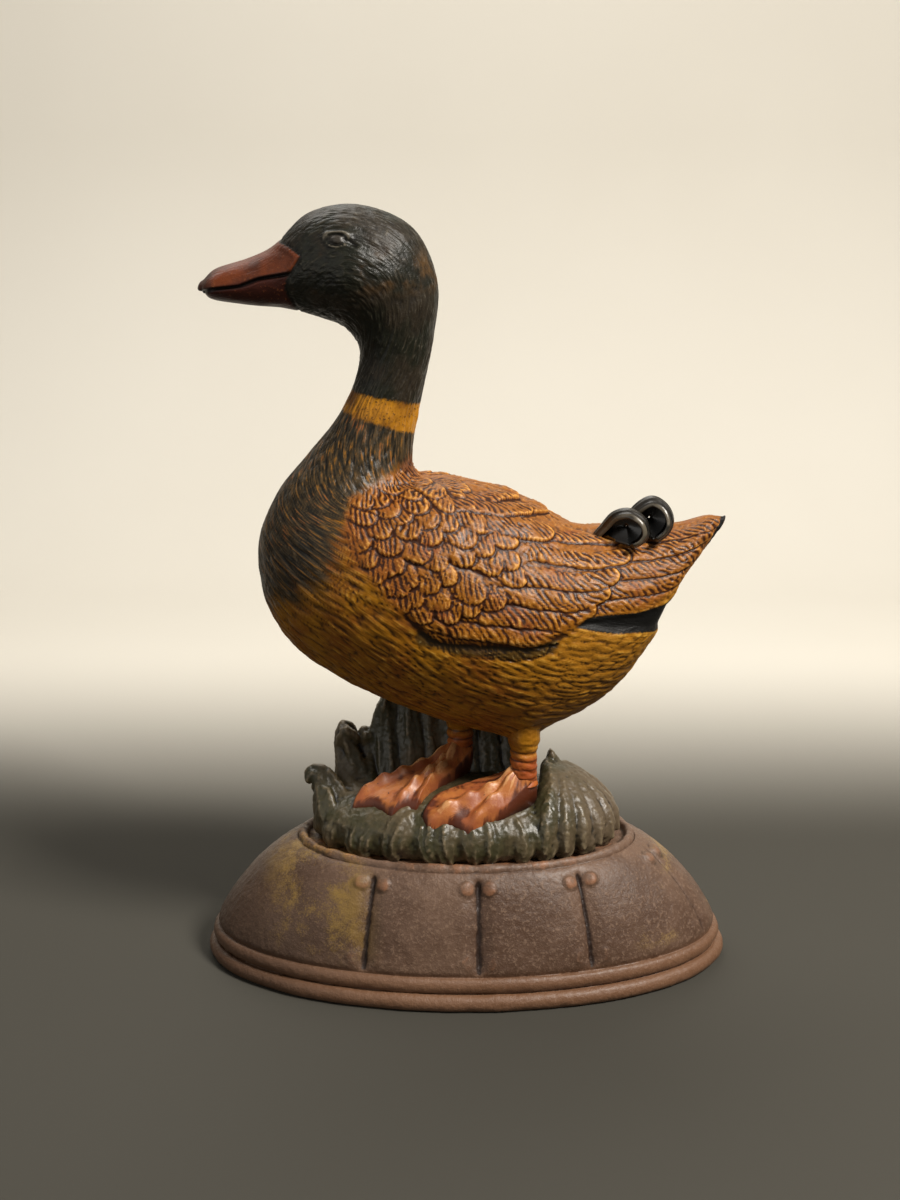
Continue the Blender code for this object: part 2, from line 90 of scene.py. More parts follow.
# Paint and relief borders and places, seen from the side as (x, z)
BILL = ((-0.104, 0.290), (-0.0690, 0.2835), (-0.0683, 0.2816), (-0.0648, 0.2805), (-0.0601, 0.2771),
        (-0.0636, 0.2712), (-0.0654, 0.2683), (-0.0660, 0.2649), (-0.0625, 0.2570), (-0.0640, 0.2500),
        (-0.104, 0.250))
MOUTH = ((-0.0980, 0.2640), (-0.0962, 0.2643), (-0.0922, 0.2652), (-0.0823, 0.2662), (-0.0753, 0.2689),
         (-0.0632, 0.2709))
HEAD = ((-0.070, 0.310), (-0.070, 0.240), (-0.0500, 0.2298), (-0.0450, 0.2290), (-0.0320, 0.2268),
        (-0.0174, 0.2235), (0.0050, 0.2190), (0.010, 0.310))
RING_FOOT = ((-0.070, 0.2270), (-0.0466, 0.2216), (-0.0330, 0.2178), (-0.0197, 0.2130), (0.010, 0.2040))
BREAST = ((-0.060, 0.2300), (0.0000, 0.2120), (-0.0170, 0.2040), (-0.0290, 0.1975), (-0.0400, 0.1915),
          (-0.0450, 0.1840), (-0.0470, 0.1760), (-0.0500, 0.1660), (-0.0610, 0.1560), (-0.0740, 0.1490),
          (-0.0900, 0.1440), (-0.0950, 0.1900))
# The wing's front and lower edge, which the orange paint shares
WING_EDGE = ((-0.0425, 0.1915), (-0.0440, 0.1840), (-0.0440, 0.1780), (-0.0410, 0.1720), (-0.0365, 0.1650),
             (-0.0310, 0.1585), (-0.0190, 0.1470), (-0.0100, 0.1405), (0.0110, 0.1390), (0.0240, 0.1380),
             (0.0330, 0.1420))
ORANGE = ((-0.0150, 0.2060), (-0.0290, 0.1985), *WING_EDGE, (0.0400, 0.1450), (0.0455, 0.1485),
          (0.0600, 0.1485), (0.0714, 0.1515), (0.0830, 0.1600), (0.0930, 0.1700), (0.1050, 0.1790),
          (0.1050, 0.2300), (0.0000, 0.2300))
WING = ((-0.0300, 0.2000), *WING_EDGE, (0.0410, 0.1460), (0.0480, 0.1550), (0.0540, 0.1610),
        (0.0570, 0.1660), (0.0577, 0.1716), (0.0500, 0.2300), (-0.0100, 0.2300))
UNDER_TAIL = ((0.0400, 0.1450), (0.0440, 0.1482), (0.0509, 0.1489), (0.0587, 0.1487), (0.0643, 0.1489),
              (0.0691, 0.1497), (0.0740, 0.1505), (0.0830, 0.1530), (0.0860, 0.1500), (0.0800, 0.1420),
              (0.0745, 0.1385), (0.0704, 0.1388), (0.0647, 0.1403), (0.0565, 0.1411), (0.0518, 0.1418),
              (0.0453, 0.1434), (0.0420, 0.1444))
TAIL_RIM = ((0.0974, 0.1800), (0.0956, 0.1740), (0.0885, 0.1630), (0.0800, 0.1530))
TAIL_RIM_WIDTH = 0.0012
# The dark fringe of feathers below the wing
FRINGE = ((-0.0160, 0.1422), (-0.0030, 0.1388), (0.0065, 0.1376), (0.0180, 0.1362), (0.0300, 0.1388))
FRINGE_HALF_WIDTH = 0.0034
EYE = (-0.0465, 0.2828)
EYE_REACH = (0.0037, 0.0022)
EYE_CORNER = ((-0.0425, 0.2826), (-0.0395, 0.2812))
SOCKET = ((-0.0400, 0.2828), (-0.0310, 0.2790))
CHEEK = (-0.0440, 0.2690)
LORE = (-0.0600, 0.2795)
BILL_NAIL = (-0.0965, 0.2655)
NOSTRIL = ((-0.0800, 0.2712), (-0.0762, 0.2722))

# Feathers as spines of (x, z), with a half width; the later ones lie over the earlier ones
TAIL_FEATHERS = (
    (((0.0400, 0.1510), (0.0534, 0.1513), (0.0638, 0.1523), (0.0767, 0.1549)), 0.0029),
    (((0.0470, 0.1573), (0.0584, 0.1575), (0.0665, 0.1579), (0.0742, 0.1586), (0.0820, 0.1612)), 0.0032),
    (((0.0540, 0.1640), (0.0643, 0.1639), (0.0717, 0.1647), (0.0796, 0.1659), (0.0890, 0.1680)), 0.0034),
    (((0.0560, 0.1695), (0.0671, 0.1698), (0.0774, 0.1711), (0.0850, 0.1734), (0.0935, 0.1765)), 0.0032),
    (((0.0600, 0.1745), (0.0774, 0.1752), (0.0831, 0.1762), (0.0896, 0.1780), (0.0955, 0.1797)), 0.0028),
)
FLIGHT_FEATHERS = (
    (((-0.0200, 0.1510), (-0.0135, 0.1489), (-0.0035, 0.1463), (0.0093, 0.1442), (0.0206, 0.1415),
      (0.0310, 0.1426), (0.0395, 0.1463)), 0.0032),
    (((-0.0080, 0.1545), (-0.0038, 0.1540), (0.0075, 0.1509), (0.0194, 0.1498), (0.0341, 0.1481),
      (0.0402, 0.1488), (0.0470, 0.1530)), 0.0036),
    (((-0.0040, 0.1620), (0.0088, 0.1585), (0.0158, 0.1585), (0.0249, 0.1564), (0.0343, 0.1549),
      (0.0430, 0.1550), (0.0525, 0.1585)), 0.0038),
    (((0.0060, 0.1650), (0.0186, 0.1642), (0.0273, 0.1634), (0.0336, 0.1622), (0.0397, 0.1611),
      (0.0463, 0.1612), (0.0565, 0.1635)), 0.0038),
    (((0.0220, 0.1725), (0.0285, 0.1708), (0.0386, 0.1686), (0.0470, 0.1680), (0.0541, 0.1687),
      (0.0605, 0.1693)), 0.0036),
    (((0.0240, 0.1785), (0.0322, 0.1764), (0.0408, 0.1750), (0.0492, 0.1745), (0.0590, 0.1745)), 0.0030),
)
SCAPULARS = (
    (((0.0080, 0.1880), (0.0190, 0.1850), (0.0305, 0.1835)), 0.0034),
    (((0.0060, 0.1840), (0.0190, 0.1800), (0.0318, 0.1765)), 0.0052),
    (((-0.0020, 0.1905), (0.0070, 0.1895), (0.0190, 0.1885)), 0.0032),
    (((-0.0060, 0.1890), (0.0000, 0.1885), (0.0075, 0.1865)), 0.0034),
    (((0.0020, 0.1885), (0.0120, 0.1860), (0.0240, 0.1840)), 0.0036),
)
# Coverts, by their tips; each runs back and up from its tip
COVERT_TIPS = (
    (0.0210, 0.1615), (0.0141, 0.1552), (0.0186, 0.1680), (0.0040, 0.1520), (0.0057, 0.1572),
    (0.0119, 0.1666), (0.0180, 0.1745), (0.0090, 0.1728), (-0.0035, 0.1500), (-0.0061, 0.1555),
    (-0.0035, 0.1640), (0.0025, 0.1700), (-0.0130, 0.1500), (-0.0100, 0.1610), (0.0080, 0.1800),
    (0.0030, 0.1760), (-0.0160, 0.1560), (-0.0080, 0.1690), (-0.0136, 0.1722), (-0.0212, 0.1540),
    (-0.0037, 0.1812), (-0.0180, 0.1630), (-0.0212, 0.1600), (-0.0100, 0.1770), (-0.0265, 0.1590),
    (-0.0109, 0.1830), (-0.0230, 0.1680), (-0.0259, 0.1660), (-0.0180, 0.1790), (-0.0300, 0.1640),
    (-0.0244, 0.1740), (-0.0200, 0.1850), (-0.0330, 0.1700), (-0.0280, 0.1800), (-0.0350, 0.1760),
    (-0.0340, 0.1840), (-0.0150, 0.1870), (-0.0250, 0.1870), (-0.0180, 0.1905), (-0.0290, 0.1900),
    (-0.0350, 0.1890), (-0.0230, 0.1935), (-0.0050, 0.1865), (-0.0010, 0.1900), (-0.0100, 0.1905),
    (-0.0140, 0.1940),
)
COVERT_LENGTH = 0.0165
COVERT_HALF_WIDTH = 0.0046
COVERT_SLOPE = math.radians(-27.0)

# How far feathers and barbs stand up, and how close the barbs are
FEATHER_RISE = 0.0016
BARB_SLANT = 0.95
FLIGHT_PITCH = 0.0028
COVERT_PITCH = 0.0025
FLIGHT_BARB = 0.00066
COVERT_BARB = 0.00066
# The line along a feather's lower edge, by how deep it is cut and how wide; the same line carries painted
# shadow
EDGE_CUT = 0.00050
EDGE_LINE = 0.00038

# Strokes over the plumage as (length, width, depth)
BODY_STROKES = (0.0085, 0.00130, 0.00058)
FINE_STROKES = (0.0050, 0.00075, 0.00018)
CROWN_STROKES = (0.0022, 0.00095, 0.00036)
CROWN_GRAIN = 0.00014
CAST_LUMPS = 0.00025

# The wing's raised lower edge, the gully under it and the recess under the tail
WING_STEP = 0.0010
WING_GULLY = 0.0004
TAIL_RECESS = 0.0016

SCREWS = {
    "neck_screw": (-0.0300, 0.2330),
    "breast_screw": (-0.0340, 0.1620),
    "rump_screw": (0.0500, 0.1420),
}
SCREW_POCKET = 0.0044
SCREW_HEAD = 0.0026

# Legs and feet
LEFT_LEG = (0.0220, -0.0135)
RIGHT_LEG = (-0.0025, 0.0115)
ANKLE = 0.0765
LEG_TOP = 0.1030
LEG_RADIUS = 0.0051
THIGH = 0.0930
# The swells that draw the belly down to a leg, and an instep up to it, as (rise, reach)
THIGH_SWELLS = ((0.0030, 0.0066), (0.0014, 0.0110))
INSTEP_SWELLS = ((0.0058, 0.0085), (0.0032, 0.0150))
RIDGE_PITCH = 0.0036
RIDGE_HEIGHT = 0.00034
THIGH_FLARE = 0.0012
ANKLE_FLARE = 0.0006
LEG_ROWS = 90
LEG_AROUND = 72
LEFT_FOOT = (
    (0.0275, -0.0150), (0.0235, -0.0195), (0.0140, -0.0245), (0.0080, -0.0265), (0.0010, -0.0298),
    (-0.0055, -0.0268), (-0.0150, -0.0278), (-0.0175, -0.0235), (-0.0130, -0.0165), (0.0010, -0.0095),
    (0.0150, -0.0060), (0.0265, -0.0095),
)
RIGHT_FOOT = (
    (0.0030, 0.0080), (-0.0060, -0.0040), (-0.0150, -0.0130), (-0.0195, -0.0205), (-0.0240, -0.0195),
    (-0.0290, -0.0218), (-0.0330, -0.0180), (-0.0370, -0.0150), (-0.0450, -0.0130), (-0.0440, -0.0095),
    (-0.0330, -0.0030), (-0.0180, 0.0070), (-0.0090, 0.0155), (0.0020, 0.0160),
)
LEFT_TOES = ((0.0235, -0.0190), (0.0010, -0.0295), (-0.0155, -0.0270))
RIGHT_TOES = ((-0.0195, -0.0200), (-0.0290, -0.0215), (-0.0450, -0.0115))
FOOT_THICKNESS = 0.0030
TOE_RISE = 0.0023
TOE_WIDTH = 0.0023
WEB_SAG = 0.0011
KNUCKLE_PITCH = 0.0042

# Tussock
MOUND_HALF_LENGTH = 0.0620
MOUND_HALF_WIDTH = 0.0310
MOUND_EDGE = 0.0570
MOUND_CROWN = 0.0735
# A rim tongue's path, as shares of the mound's half length and width, with heights
RIM_LOBE = ((0.62, 0.0655), (0.77, 0.0650), (0.88, 0.0618), (0.945, 0.0575), (0.950, 0.0535),
            (0.89, 0.0500))
CLUMP_OUTLINE = (
    (-0.066, 0.060), (-0.061, 0.076), (-0.055, 0.079), (-0.052, 0.093), (-0.046, 0.090), (-0.038, 0.091),
    (-0.034, 0.103), (-0.028, 0.106), (-0.012, 0.100), (0.018, 0.098), (0.027, 0.084), (0.035, 0.083),
    (0.041, 0.074), (0.052, 0.070), (0.060, 0.063), (0.066, 0.056),
)
LEAF_RIB = 0.00052
LEAF_ROWS = 44
LEAF_AROUND = 48
TUSSOCK_VOXEL = 0.00058
# How far the belly rises from its middle to its side, and the gap that the blades keep below it
BELLY_ROUND = 0.0420
BELLY_GAP = 0.0004

# Base
BASE_HALF_LENGTH = 0.1050
BASE_HALF_WIDTH = 0.0550
PLATE_TOP = 0.0490
COLLAR_HALF_LENGTH = 0.0676
COLLAR_HALF_WIDTH = 0.0373
COLLAR_WIDTH = 0.0040
COLLAR_RISE = 0.0030
LOWER_MOULDING = 0.0066
UPPER_MOULDING = 0.0128
DOME_FOOT_INSET = 0.0042
DOME_POWER = 1.34
# Panel joints, as degrees around the collar's oval, and how deep each is
JOINTS = ((-120.9, 1.0), (-86.6, 1.0), (-52.3, 1.0), (-11.0, 0.3), (52.3, 1.0), (86.6, 1.0), (120.9, 1.0))
PANEL_RISE = 0.0005
PANEL_DIP = 0.0015
PANEL_EDGE = 0.0068
CREASE_DEPTH = 0.0012
CREASE_WIDTH = 0.00080
RIVET_FROM_JOINT = 0.0041
RIVET_RADIUS = 0.0031
RIVET_HEIGHT = 0.0013
# Rivet rows, as height and how far the rivets there stand out
RIVET_ROWS = ((0.0185, 0.3), (0.0445, 0.9))
BASE_AROUND = 660

# Curls
CURLS = {
    "front_tail_curl": (
        (0.0475, -0.0080, 0.1740),
        (0.0505, -0.0095, 0.1778), (0.0545, -0.0125, 0.1832), (0.0597, -0.0155, 0.1850),
        (0.0645, -0.0172, 0.1822), (0.0660, -0.0180, 0.1776), (0.0640, -0.0184, 0.1742),
        (0.0602, -0.0186, 0.1722),
    ),
    "rear_tail_curl": (
        (0.0580, -0.0035, 0.1745),
        (0.0600, -0.0045, 0.1785), (0.0630, -0.0065, 0.1842), (0.0685, -0.0085, 0.1882),
        (0.0735, -0.0105, 0.1860), (0.0755, -0.0125, 0.1808), (0.0735, -0.0140, 0.1764),
        (0.0695, -0.0150, 0.1736),
    ),
}
CURL_WIDTH = 0.0090
CURL_THICKNESS = 0.0026
CURL_CUP = 0.0016
CURL_LINE = 0.00016
CURL_ROWS = 150
CURL_AROUND = 72


# Numbers

def ease(low, high, value):
    """0 below low, 1 above high, and smooth between."""
    share = np.clip((value - low) / (high - low), 0.0, 1.0)
    return share * share * (3.0 - 2.0 * share)


def bell(distance, width):
    """1 at no distance, falling smoothly away over this width."""
    return np.exp(-(distance / width) ** 2)


def lattice(i, j, k, seed):
    """A fixed random number from -1 to 1 for each whole-numbered place."""
    mixed = (i * 73856093 ^ j * 19349663 ^ k * 83492791 ^ seed * 2971215073) & 0xFFFFFFFF
    mixed = (mixed ^ mixed >> 13) * 1274126177 & 0xFFFFFFFF
    mixed = (mixed ^ mixed >> 15) * 668265263 & 0xFFFFFFFF
    return ((mixed ^ mixed >> 16) & 0xFFFF) / 32767.5 - 1.0


def chance(number, one, other, seed):
    """A fixed random number from -1 to 1 for one numbered blade or feather."""
    return float(lattice(number, one, other, seed))


def noise(x, y, z, seed):
    """Smooth noise from -1 to 1, with one cell to each unit."""
    x, y, z = np.broadcast_arrays(x, y, z)
    cells = []
    shares = []
    for value in (x, y, z):
        cell = np.floor(value).astype(np.int64)
        share = value - cell
        cells.append(cell)
        shares.append(share * share * (3.0 - 2.0 * share))
    total = 0.0
    for corner in range(8):
        weight = 1.0
        place = []
        for axis in range(3):
            step = corner >> axis & 1
            weight = weight * (shares[axis] if step else 1.0 - shares[axis])
            place.append(cells[axis] + step)
        total = total + weight * lattice(*place, seed)
    return total


def grain(points, size, seed, octaves=2):
    """Noise over an array of points, with features of this size."""
    total = 0.0
    for octave in range(octaves):
        scaled = points * (2**octave / size)
        total = total + noise(scaled[..., 0], scaled[..., 1], scaled[..., 2], seed + octave) / 2**octave
    return total


def spline(rows, times):
    """Points at these times on the smooth curve through the rows, one row to each unit of time."""
    rows = np.asarray(rows, float)
    padded = np.vstack((2 * rows[0] - rows[1], rows, 2 * rows[-1] - rows[-2]))
    index = np.clip(np.floor(times).astype(int), 0, len(rows) - 2)
    t = (np.asarray(times) - index)[:, None]
    before, start, end, after = (padded[index + shift] for shift in range(4))
    linear = (end - before) * t
    square = (2 * before - 5 * start + 4 * end - after) * t**2
    cube = (3 * start - before - 3 * end + after) * t**3
    return (2 * start + linear + square + cube) / 2


def polygon_distance(corners, x, z):
    """Distance from each place to a polygon's outline, negative inside it."""
    corners = np.asarray(corners)
    best = np.full(x.shape, 1.0)
    inside = np.zeros(x.shape, bool)
    for (ax, az), (bx, bz) in zip(corners, np.roll(corners, -1, axis=0)):
        best = np.minimum(best, segment_distance((ax, az), (bx, bz), x, z))
        if az != bz:
            crossing = ax + (z - az) * (bx - ax) / (bz - az)
            inside ^= ((az > z) != (bz > z)) & (x < crossing)
    return np.where(inside, -best, best)


def segment_distance(start, end, x, z):
    """Distance from each place to one straight segment."""
    run = np.subtract(end, start)
    share = np.clip(((x - start[0]) * run[0] + (z - start[1]) * run[1]) / (run @ run), 0.0, 1.0)
    return np.hypot(x - start[0] - share * run[0], z - start[1] - share * run[1])


def line_distance(points, x, z):
    """Distance from each place to a chain of segments."""
    best = np.full(x.shape, 1.0)
    for start, end in zip(points[:-1], points[1:]):
        best = np.minimum(best, segment_distance(start, end, x, z))
    return best


def soften(field, steps):
    """The field blurred over its grid."""
    for _ in range(steps):
        padded = np.pad(field, 1, mode="edge")
        sides = padded[:-2, 1:-1] + padded[2:, 1:-1] + padded[1:-1, :-2] + padded[1:-1, 2:]
        field = (field * 2 + sides) / 6
    return field


# Meshes

def make_mesh(name, points, faces, fields=None):
    """A mesh object with outward faces, smooth shading and a value for each vertex in each field."""
    points = np.asarray(points, float).reshape(-1, 3)
    mesh = bpy.data.meshes.new(name)
    mesh.from_pydata(points.tolist(), [], faces)
    mesh.shade_smooth()
    for label, values in (fields or {}).items():
        values = np.asarray(values, np.float32)
        kind = "FLOAT_VECTOR" if values.ndim == 2 else "FLOAT"
        attribute = mesh.attributes.new(label, kind, "POINT")
        attribute.data.foreach_set("vector" if values.ndim == 2 else "value", values.ravel())
    item = bpy.data.objects.new(name, mesh)
    bpy.context.scene.collection.objects.link(item)
    return item


def grid_faces(points, first=0):
    """Quads over rows of closed loops with a cap at each end, turned to face out."""
    rows, count = points.shape[:2]
    index = np.arange(rows * count).reshape(rows, count) + first
    after = np.roll(index, -1, axis=1)
    quads = np.stack((index[:-1], after[:-1], after[1:], index[1:]), axis=-1).reshape(-1, 4)
    flat = points.reshape(-1, 3)
    a, b, c, d = (flat[quads[:, corner] - first] for corner in range(4))
    volume = np.einsum("ij,ij->", np.cross(b - a, d - a) + np.cross(d - c, b - c), (a + c) / 2)
    caps = [index[0].tolist()[::-1], index[-1].tolist()]
    faces = quads.tolist() + caps
    if volume < 0:
        faces = [face[::-1] for face in faces]
    return faces


def shell_normals(points):
    """Unit normals over a grid of points, pointing away from the grid's middle line."""
    down = np.gradient(points, axis=0)
    across = np.gradient(points, axis=1)
    normals = np.cross(down, across)
    length = np.linalg.norm(normals, axis=-1, keepdims=True)
    normals = normals / np.maximum(length, 1e-12)
    outward = points - points.mean(axis=1, keepdims=True)
    if np.sum(normals * outward) < 0:
        normals = -normals
    return normals


# Drake's skin

def drake_rows():
    """Sections evenly spaced along the drake, with rounded tips, and which of them are hollow."""
    fine = np.linspace(0, len(STATIONS) - 1, 3000)
    sections = spline(STATIONS, fine)
    middle = (sections[:, 0:2] + sections[:, 2:4]) / 2
    steps = 0.0
    for line in (sections[:, 0:2], sections[:, 2:4], middle):
        steps = steps + np.linalg.norm(np.diff(line, axis=0), axis=1)
    weights = np.interp(fine[1:], [place for place, _ in CLOSENESS], [weight for _, weight in CLOSENESS])
    travelled = np.concatenate(([0.0], np.cumsum(steps * weights)))
    times = np.interp(np.linspace(0, travelled[-1], ROWS - 2 * TIP_ROWS), travelled, fine)
    rows = spline(STATIONS, times)
    hollow = (times > HOLLOW_FROM) & (times < HOLLOW_TO)
    first = tip_sections(rows[0], rows[1])[::-1]
    last = tip_sections(rows[-1], rows[-2])
    solid = np.zeros(TIP_ROWS, bool)
    return np.vstack((first, rows, last)), np.concatenate((solid, hollow, solid))


def tip_sections(row, inner):
    """Sections that close a tip with a rounded nose."""
    middle = (row[0:2] + row[2:4]) / 2
    reach = (row[0:2] - row[2:4]) / 2
    away = middle - (inner[0:2] + inner[2:4]) / 2
    away = away / np.linalg.norm(away)
    depth = 0.7 * np.linalg.norm(reach)
    result = []
    for step in range(1, TIP_ROWS + 1):
        turn = math.radians(86.0) * step / TIP_ROWS
        centre = middle + away * depth * math.sin(turn)
        shrunk = reach * math.cos(turn)
        result.append((*(centre + shrunk), *(centre - shrunk), row[4] * math.cos(turn)))
    return np.array(result)


class Skin:
    """One half of the drake's skin as a grid, with y measured outward from the seam."""

    def __init__(self, seed):
        self.seed = seed
        self.rows, self.hollow = drake_rows()
        self.angle = np.linspace(0, math.pi, COLUMNS)
        back = self.rows[:, None, 0:2]
        front = self.rows[:, None, 2:4]
        place = (back + front) / 2 + (back - front) / 2 * np.cos(self.angle)[None, :, None]
        y = self.rows[:, 4:5] * np.sin(self.angle)[None, :] + GAP / 2
        self.points = np.stack((place[..., 0], y, place[..., 1]), axis=-1)
        self.normals = shell_normals(self.points)
        self.normals[:, (0, -1), 1] = 0.0
        self.normals /= np.maximum(np.linalg.norm(self.normals, axis=-1, keepdims=True), 1e-9)
        self.x = self.points[..., 0]
        self.z = self.points[..., 2]
        forward = np.linalg.norm(np.diff(self.points, axis=0, prepend=self.points[:1]), axis=-1)
        sideways = np.linalg.norm(np.diff(self.points, axis=1, prepend=self.points[:, :1]), axis=-1)
        self.along = np.cumsum(forward, axis=0)
        self.around = np.cumsum(sideways, axis=1)
        to_seam = np.minimum(self.around, self.around[:, -1:] - self.around)
        self.seam = ease(0.0, 0.0030, to_seam)
        self.lift = np.zeros(self.x.shape)
        self.shade = np.zeros(self.x.shape)

    def at(self, x, z):
        """The grid place nearest to a place seen from the side."""
        distance = (self.x - x) ** 2 + (self.z - z) ** 2
        index = np.unravel_index(np.argmin(distance), distance.shape)
        return self.points[index], self.normals[index]

    def streaks(self, length, width, seed):
        """Noise drawn out along the body's flow."""
        wander = noise(self.along / length * 0.7, self.around / width * 0.2, 0.5, seed + 50)
        return noise(self.along / length, self.around / width + wander * 1.2, seed * 0.37, self.seed + seed)

    def spine_place(self, spine):
        """How far along a spine each grid place is, and how far below it, both on the skin."""
        found = [self.at(x, z) for x, z in spine]
        best = np.full(self.x.shape, 1.0)
        along = np.zeros(self.x.shape)
        below = np.zeros(self.x.shape)
        travelled = 0.0
        for step in range(len(found) - 1):
            start, start_normal = found[step]
            end, end_normal = found[step + 1]
            length = np.linalg.norm(end - start)
            run = (end - start) / length
            down = np.cross(start_normal + end_normal, run)
            down = down / np.linalg.norm(down)
            down = -down if down[2] > 0 else down
            offset = self.points - start
            ahead = offset @ run
            low = -1.0 if step == 0 else 0.0
            high = 1.0 if step == len(found) - 2 else length
            held = np.clip(ahead, low, high)
            distance = np.linalg.norm(offset - held[..., None] * run, axis=-1)
            nearer = distance < best
            best = np.where(nearer, distance, best)
            along = np.where(nearer, travelled + held, along)
            below = np.where(nearer, np.sign(offset @ down) * distance, below)
            travelled += length
        return along, below, travelled

    def feather(self, spine, half_width, rise, barbs, pitch, number):
        """Lays one feather over the lift: a raised tongue with a rounded tip, barbs, and a cut along its
        lower edge that also gets painted shadow.
        """
        along, below, length = self.spine_place(spine)
        tip = length - 1.3 * half_width
        beyond = np.clip((along - tip) / (length - tip), 0.0, 1.4)
        across = below / half_width
        edge = half_width * (1.0 - np.where(along > tip, np.hypot(beyond, across), np.abs(across)))
        edge = edge + 0.00022 * noise(along / 0.004, below / 0.004, number * 0.7, self.seed + 9)
        there = ease(-0.0001, 0.0005, edge) * ease(-0.0002, 0.0015, along)
        share = np.clip(along / length, 0.0, 1.0)
        across = np.clip(across, -1.0, 1.0)
        height = rise * (0.30 + 0.55 * share + 0.16 * across - 0.22 * across**2)
        wobble = 0.55 * noise(along / 0.004, below / 0.003, number * 1.3, self.seed + 5)
        phase = (along - BARB_SLANT * below) / pitch + number * 0.31 + wobble
        ridge = 1.0 - np.abs(np.sin(math.pi * phase)) ** 1.6
        strength = 0.62 + 0.55 * noise(along / 0.004, below / 0.002, number * 2.1, self.seed + 6)
        recess = ridge * strength * ease(0.0, 0.0008, edge)
        height -= barbs * recess
        low_side = ease(-0.2, 0.5, across + beyond) * ease(0.0, 0.003, along)
        broken = 0.65 + 0.45 * noise(along / 0.005, below / 0.005, number * 1.9, self.seed + 4)
        line = broken * bell(np.minimum(edge + 0.00020, 0.0), EDGE_LINE) * low_side * (1.0 - there)
        self.lift = self.lift - EDGE_CUT * line
        self.lift = self.lift + (height - self.lift) * there
        # Painted shadow along the lower edge, and painted shade in the barb grooves, kept in the shade field
        self.shade = np.maximum(self.shade, 0.8 * line)
        self.shade = self.shade + (0.8 * recess - self.shade) * there


def sculpt_plumage(skin):
    """Strokes the way the plumage lies: long on the breast and belly, short and grainy on the head."""
    strokes = []
    for number, (length, width, _) in enumerate((BODY_STROKES, FINE_STROKES, CROWN_STROKES), start=1):
        strokes.append(1.0 - np.abs(skin.streaks(length, width, number)))
    body = -BODY_STROKES[2] * strokes[0] ** 3 - FINE_STROKES[2] * strokes[1] ** 3
    crown = -CROWN_STROKES[2] * strokes[2] ** 2 + CROWN_GRAIN * grain(skin.points, 0.0016, skin.seed + 17)
    head = ease(-0.001, 0.001, -polygon_distance(HEAD, skin.x, skin.z))
    lumps = CAST_LUMPS * grain(skin.points, 0.009, skin.seed + 3)
    bill = ease(-0.0010, 0.0005, polygon_distance(BILL, skin.x, skin.z))
    blended = (body + (crown - body) * head) * (0.25 + 0.75 * skin.seam)
    skin.lift += (blended + lumps * skin.seam) * bill


def rounded(corners, steps=4):
    """A closed outline drawn smoothly through its corners."""
    closed = np.vstack((corners, corners[:1]))
    return spline(closed, np.arange(len(corners) * steps) / steps)


def covert_spine(number, tip_x, tip_z, seed):
    """A covert's spine, which runs back and up from its tip, and its half width; no two are alike."""
    turn = COVERT_SLOPE + 0.18 * chance(number, 3, 5, seed)
    length = COVERT_LENGTH * (1.0 + 0.15 * chance(number, 7, 1, seed))
    wide = COVERT_HALF_WIDTH * (1.0 + 0.14 * chance(number, 2, 8, seed))
    root = (tip_x - length * math.cos(turn), tip_z - length * math.sin(turn))
    middle = ((root[0] + tip_x) / 2, (root[1] + tip_z) / 2 + 0.0006)
    return (root, middle, (tip_x, tip_z)), wide


def lay_feathers(skin):
    """Lays the fringe, tail, flight feathers, coverts and scapulars, each over the ones before it."""
    skin.feather(FRINGE, FRINGE_HALF_WIDTH, 0.5 * FEATHER_RISE, FLIGHT_BARB, COVERT_PITCH, 0)
    number = 0
    for spine, half_width in TAIL_FEATHERS:
        number += 1
        skin.feather(spine, half_width, 0.8 * FEATHER_RISE, 0.8 * FLIGHT_BARB, FLIGHT_PITCH, number)
    for spine, half_width in FLIGHT_FEATHERS:
        number += 1
        skin.feather(spine, half_width, FEATHER_RISE, FLIGHT_BARB, FLIGHT_PITCH, number)
    for tip_x, tip_z in COVERT_TIPS:
        number += 1
        spine, half_width = covert_spine(number, tip_x, tip_z, skin.seed)
        skin.feather(spine, half_width, FEATHER_RISE, COVERT_BARB, COVERT_PITCH, number)
    for spine, half_width in SCAPULARS:
        number += 1
        skin.feather(spine, half_width, FEATHER_RISE, 0.7 * COVERT_BARB, COVERT_PITCH, number)


def sculpt_wing(skin):
    """The feathered wing and tail, with the wing's lower edge raised from the flank and painted shadow under
    it.
    """
    plumage = skin.lift
    skin.lift = 0.00030 * skin.streaks(0.005, 0.0014, 4) + 0.00020 * grain(skin.points, 0.0022, skin.seed + 8)
    lay_feathers(skin)
    ridge = 0.25 + 0.75 * ease(0.0008, 0.0045, skin.around)
    outside = polygon_distance(rounded(WING), skin.x, skin.z)
    lower = ease(-0.030, -0.010, skin.x) * ease(0.044, 0.030, skin.x) * skin.seam
    orange = ease(-0.0010, 0.0025, -polygon_distance(ORANGE, skin.x, skin.z))
    to_fringe = line_distance(FRINGE, skin.x, skin.z)
    fringe = ease(FRINGE_HALF_WIDTH + 0.0012, FRINGE_HALF_WIDTH - 0.0012, to_fringe)
    laid = np.maximum(orange, fringe) * skin.seam
    step = WING_STEP * ease(-0.0004, 0.0030, -outside) * lower
    gully = WING_GULLY * bell(outside - 0.0007, 0.0014) * lower
    pitted = 0.00016 * grain(skin.points, 0.0011, skin.seed + 12)
    pitted = pitted + 0.00030 * grain(skin.points, 0.0045, skin.seed + 14)
    sunk = (skin.lift - 0.6 * FEATHER_RISE) * ridge + pitted
    skin.lift = plumage * (1.0 - laid) + sunk * laid + step - gully
    # Painted shadow under the wing's lower edge
    under_edge = 0.35 * bell(outside - 0.0006, 0.0010) * lower
    skin.shade = np.maximum(skin.shade * ridge * laid, under_edge)


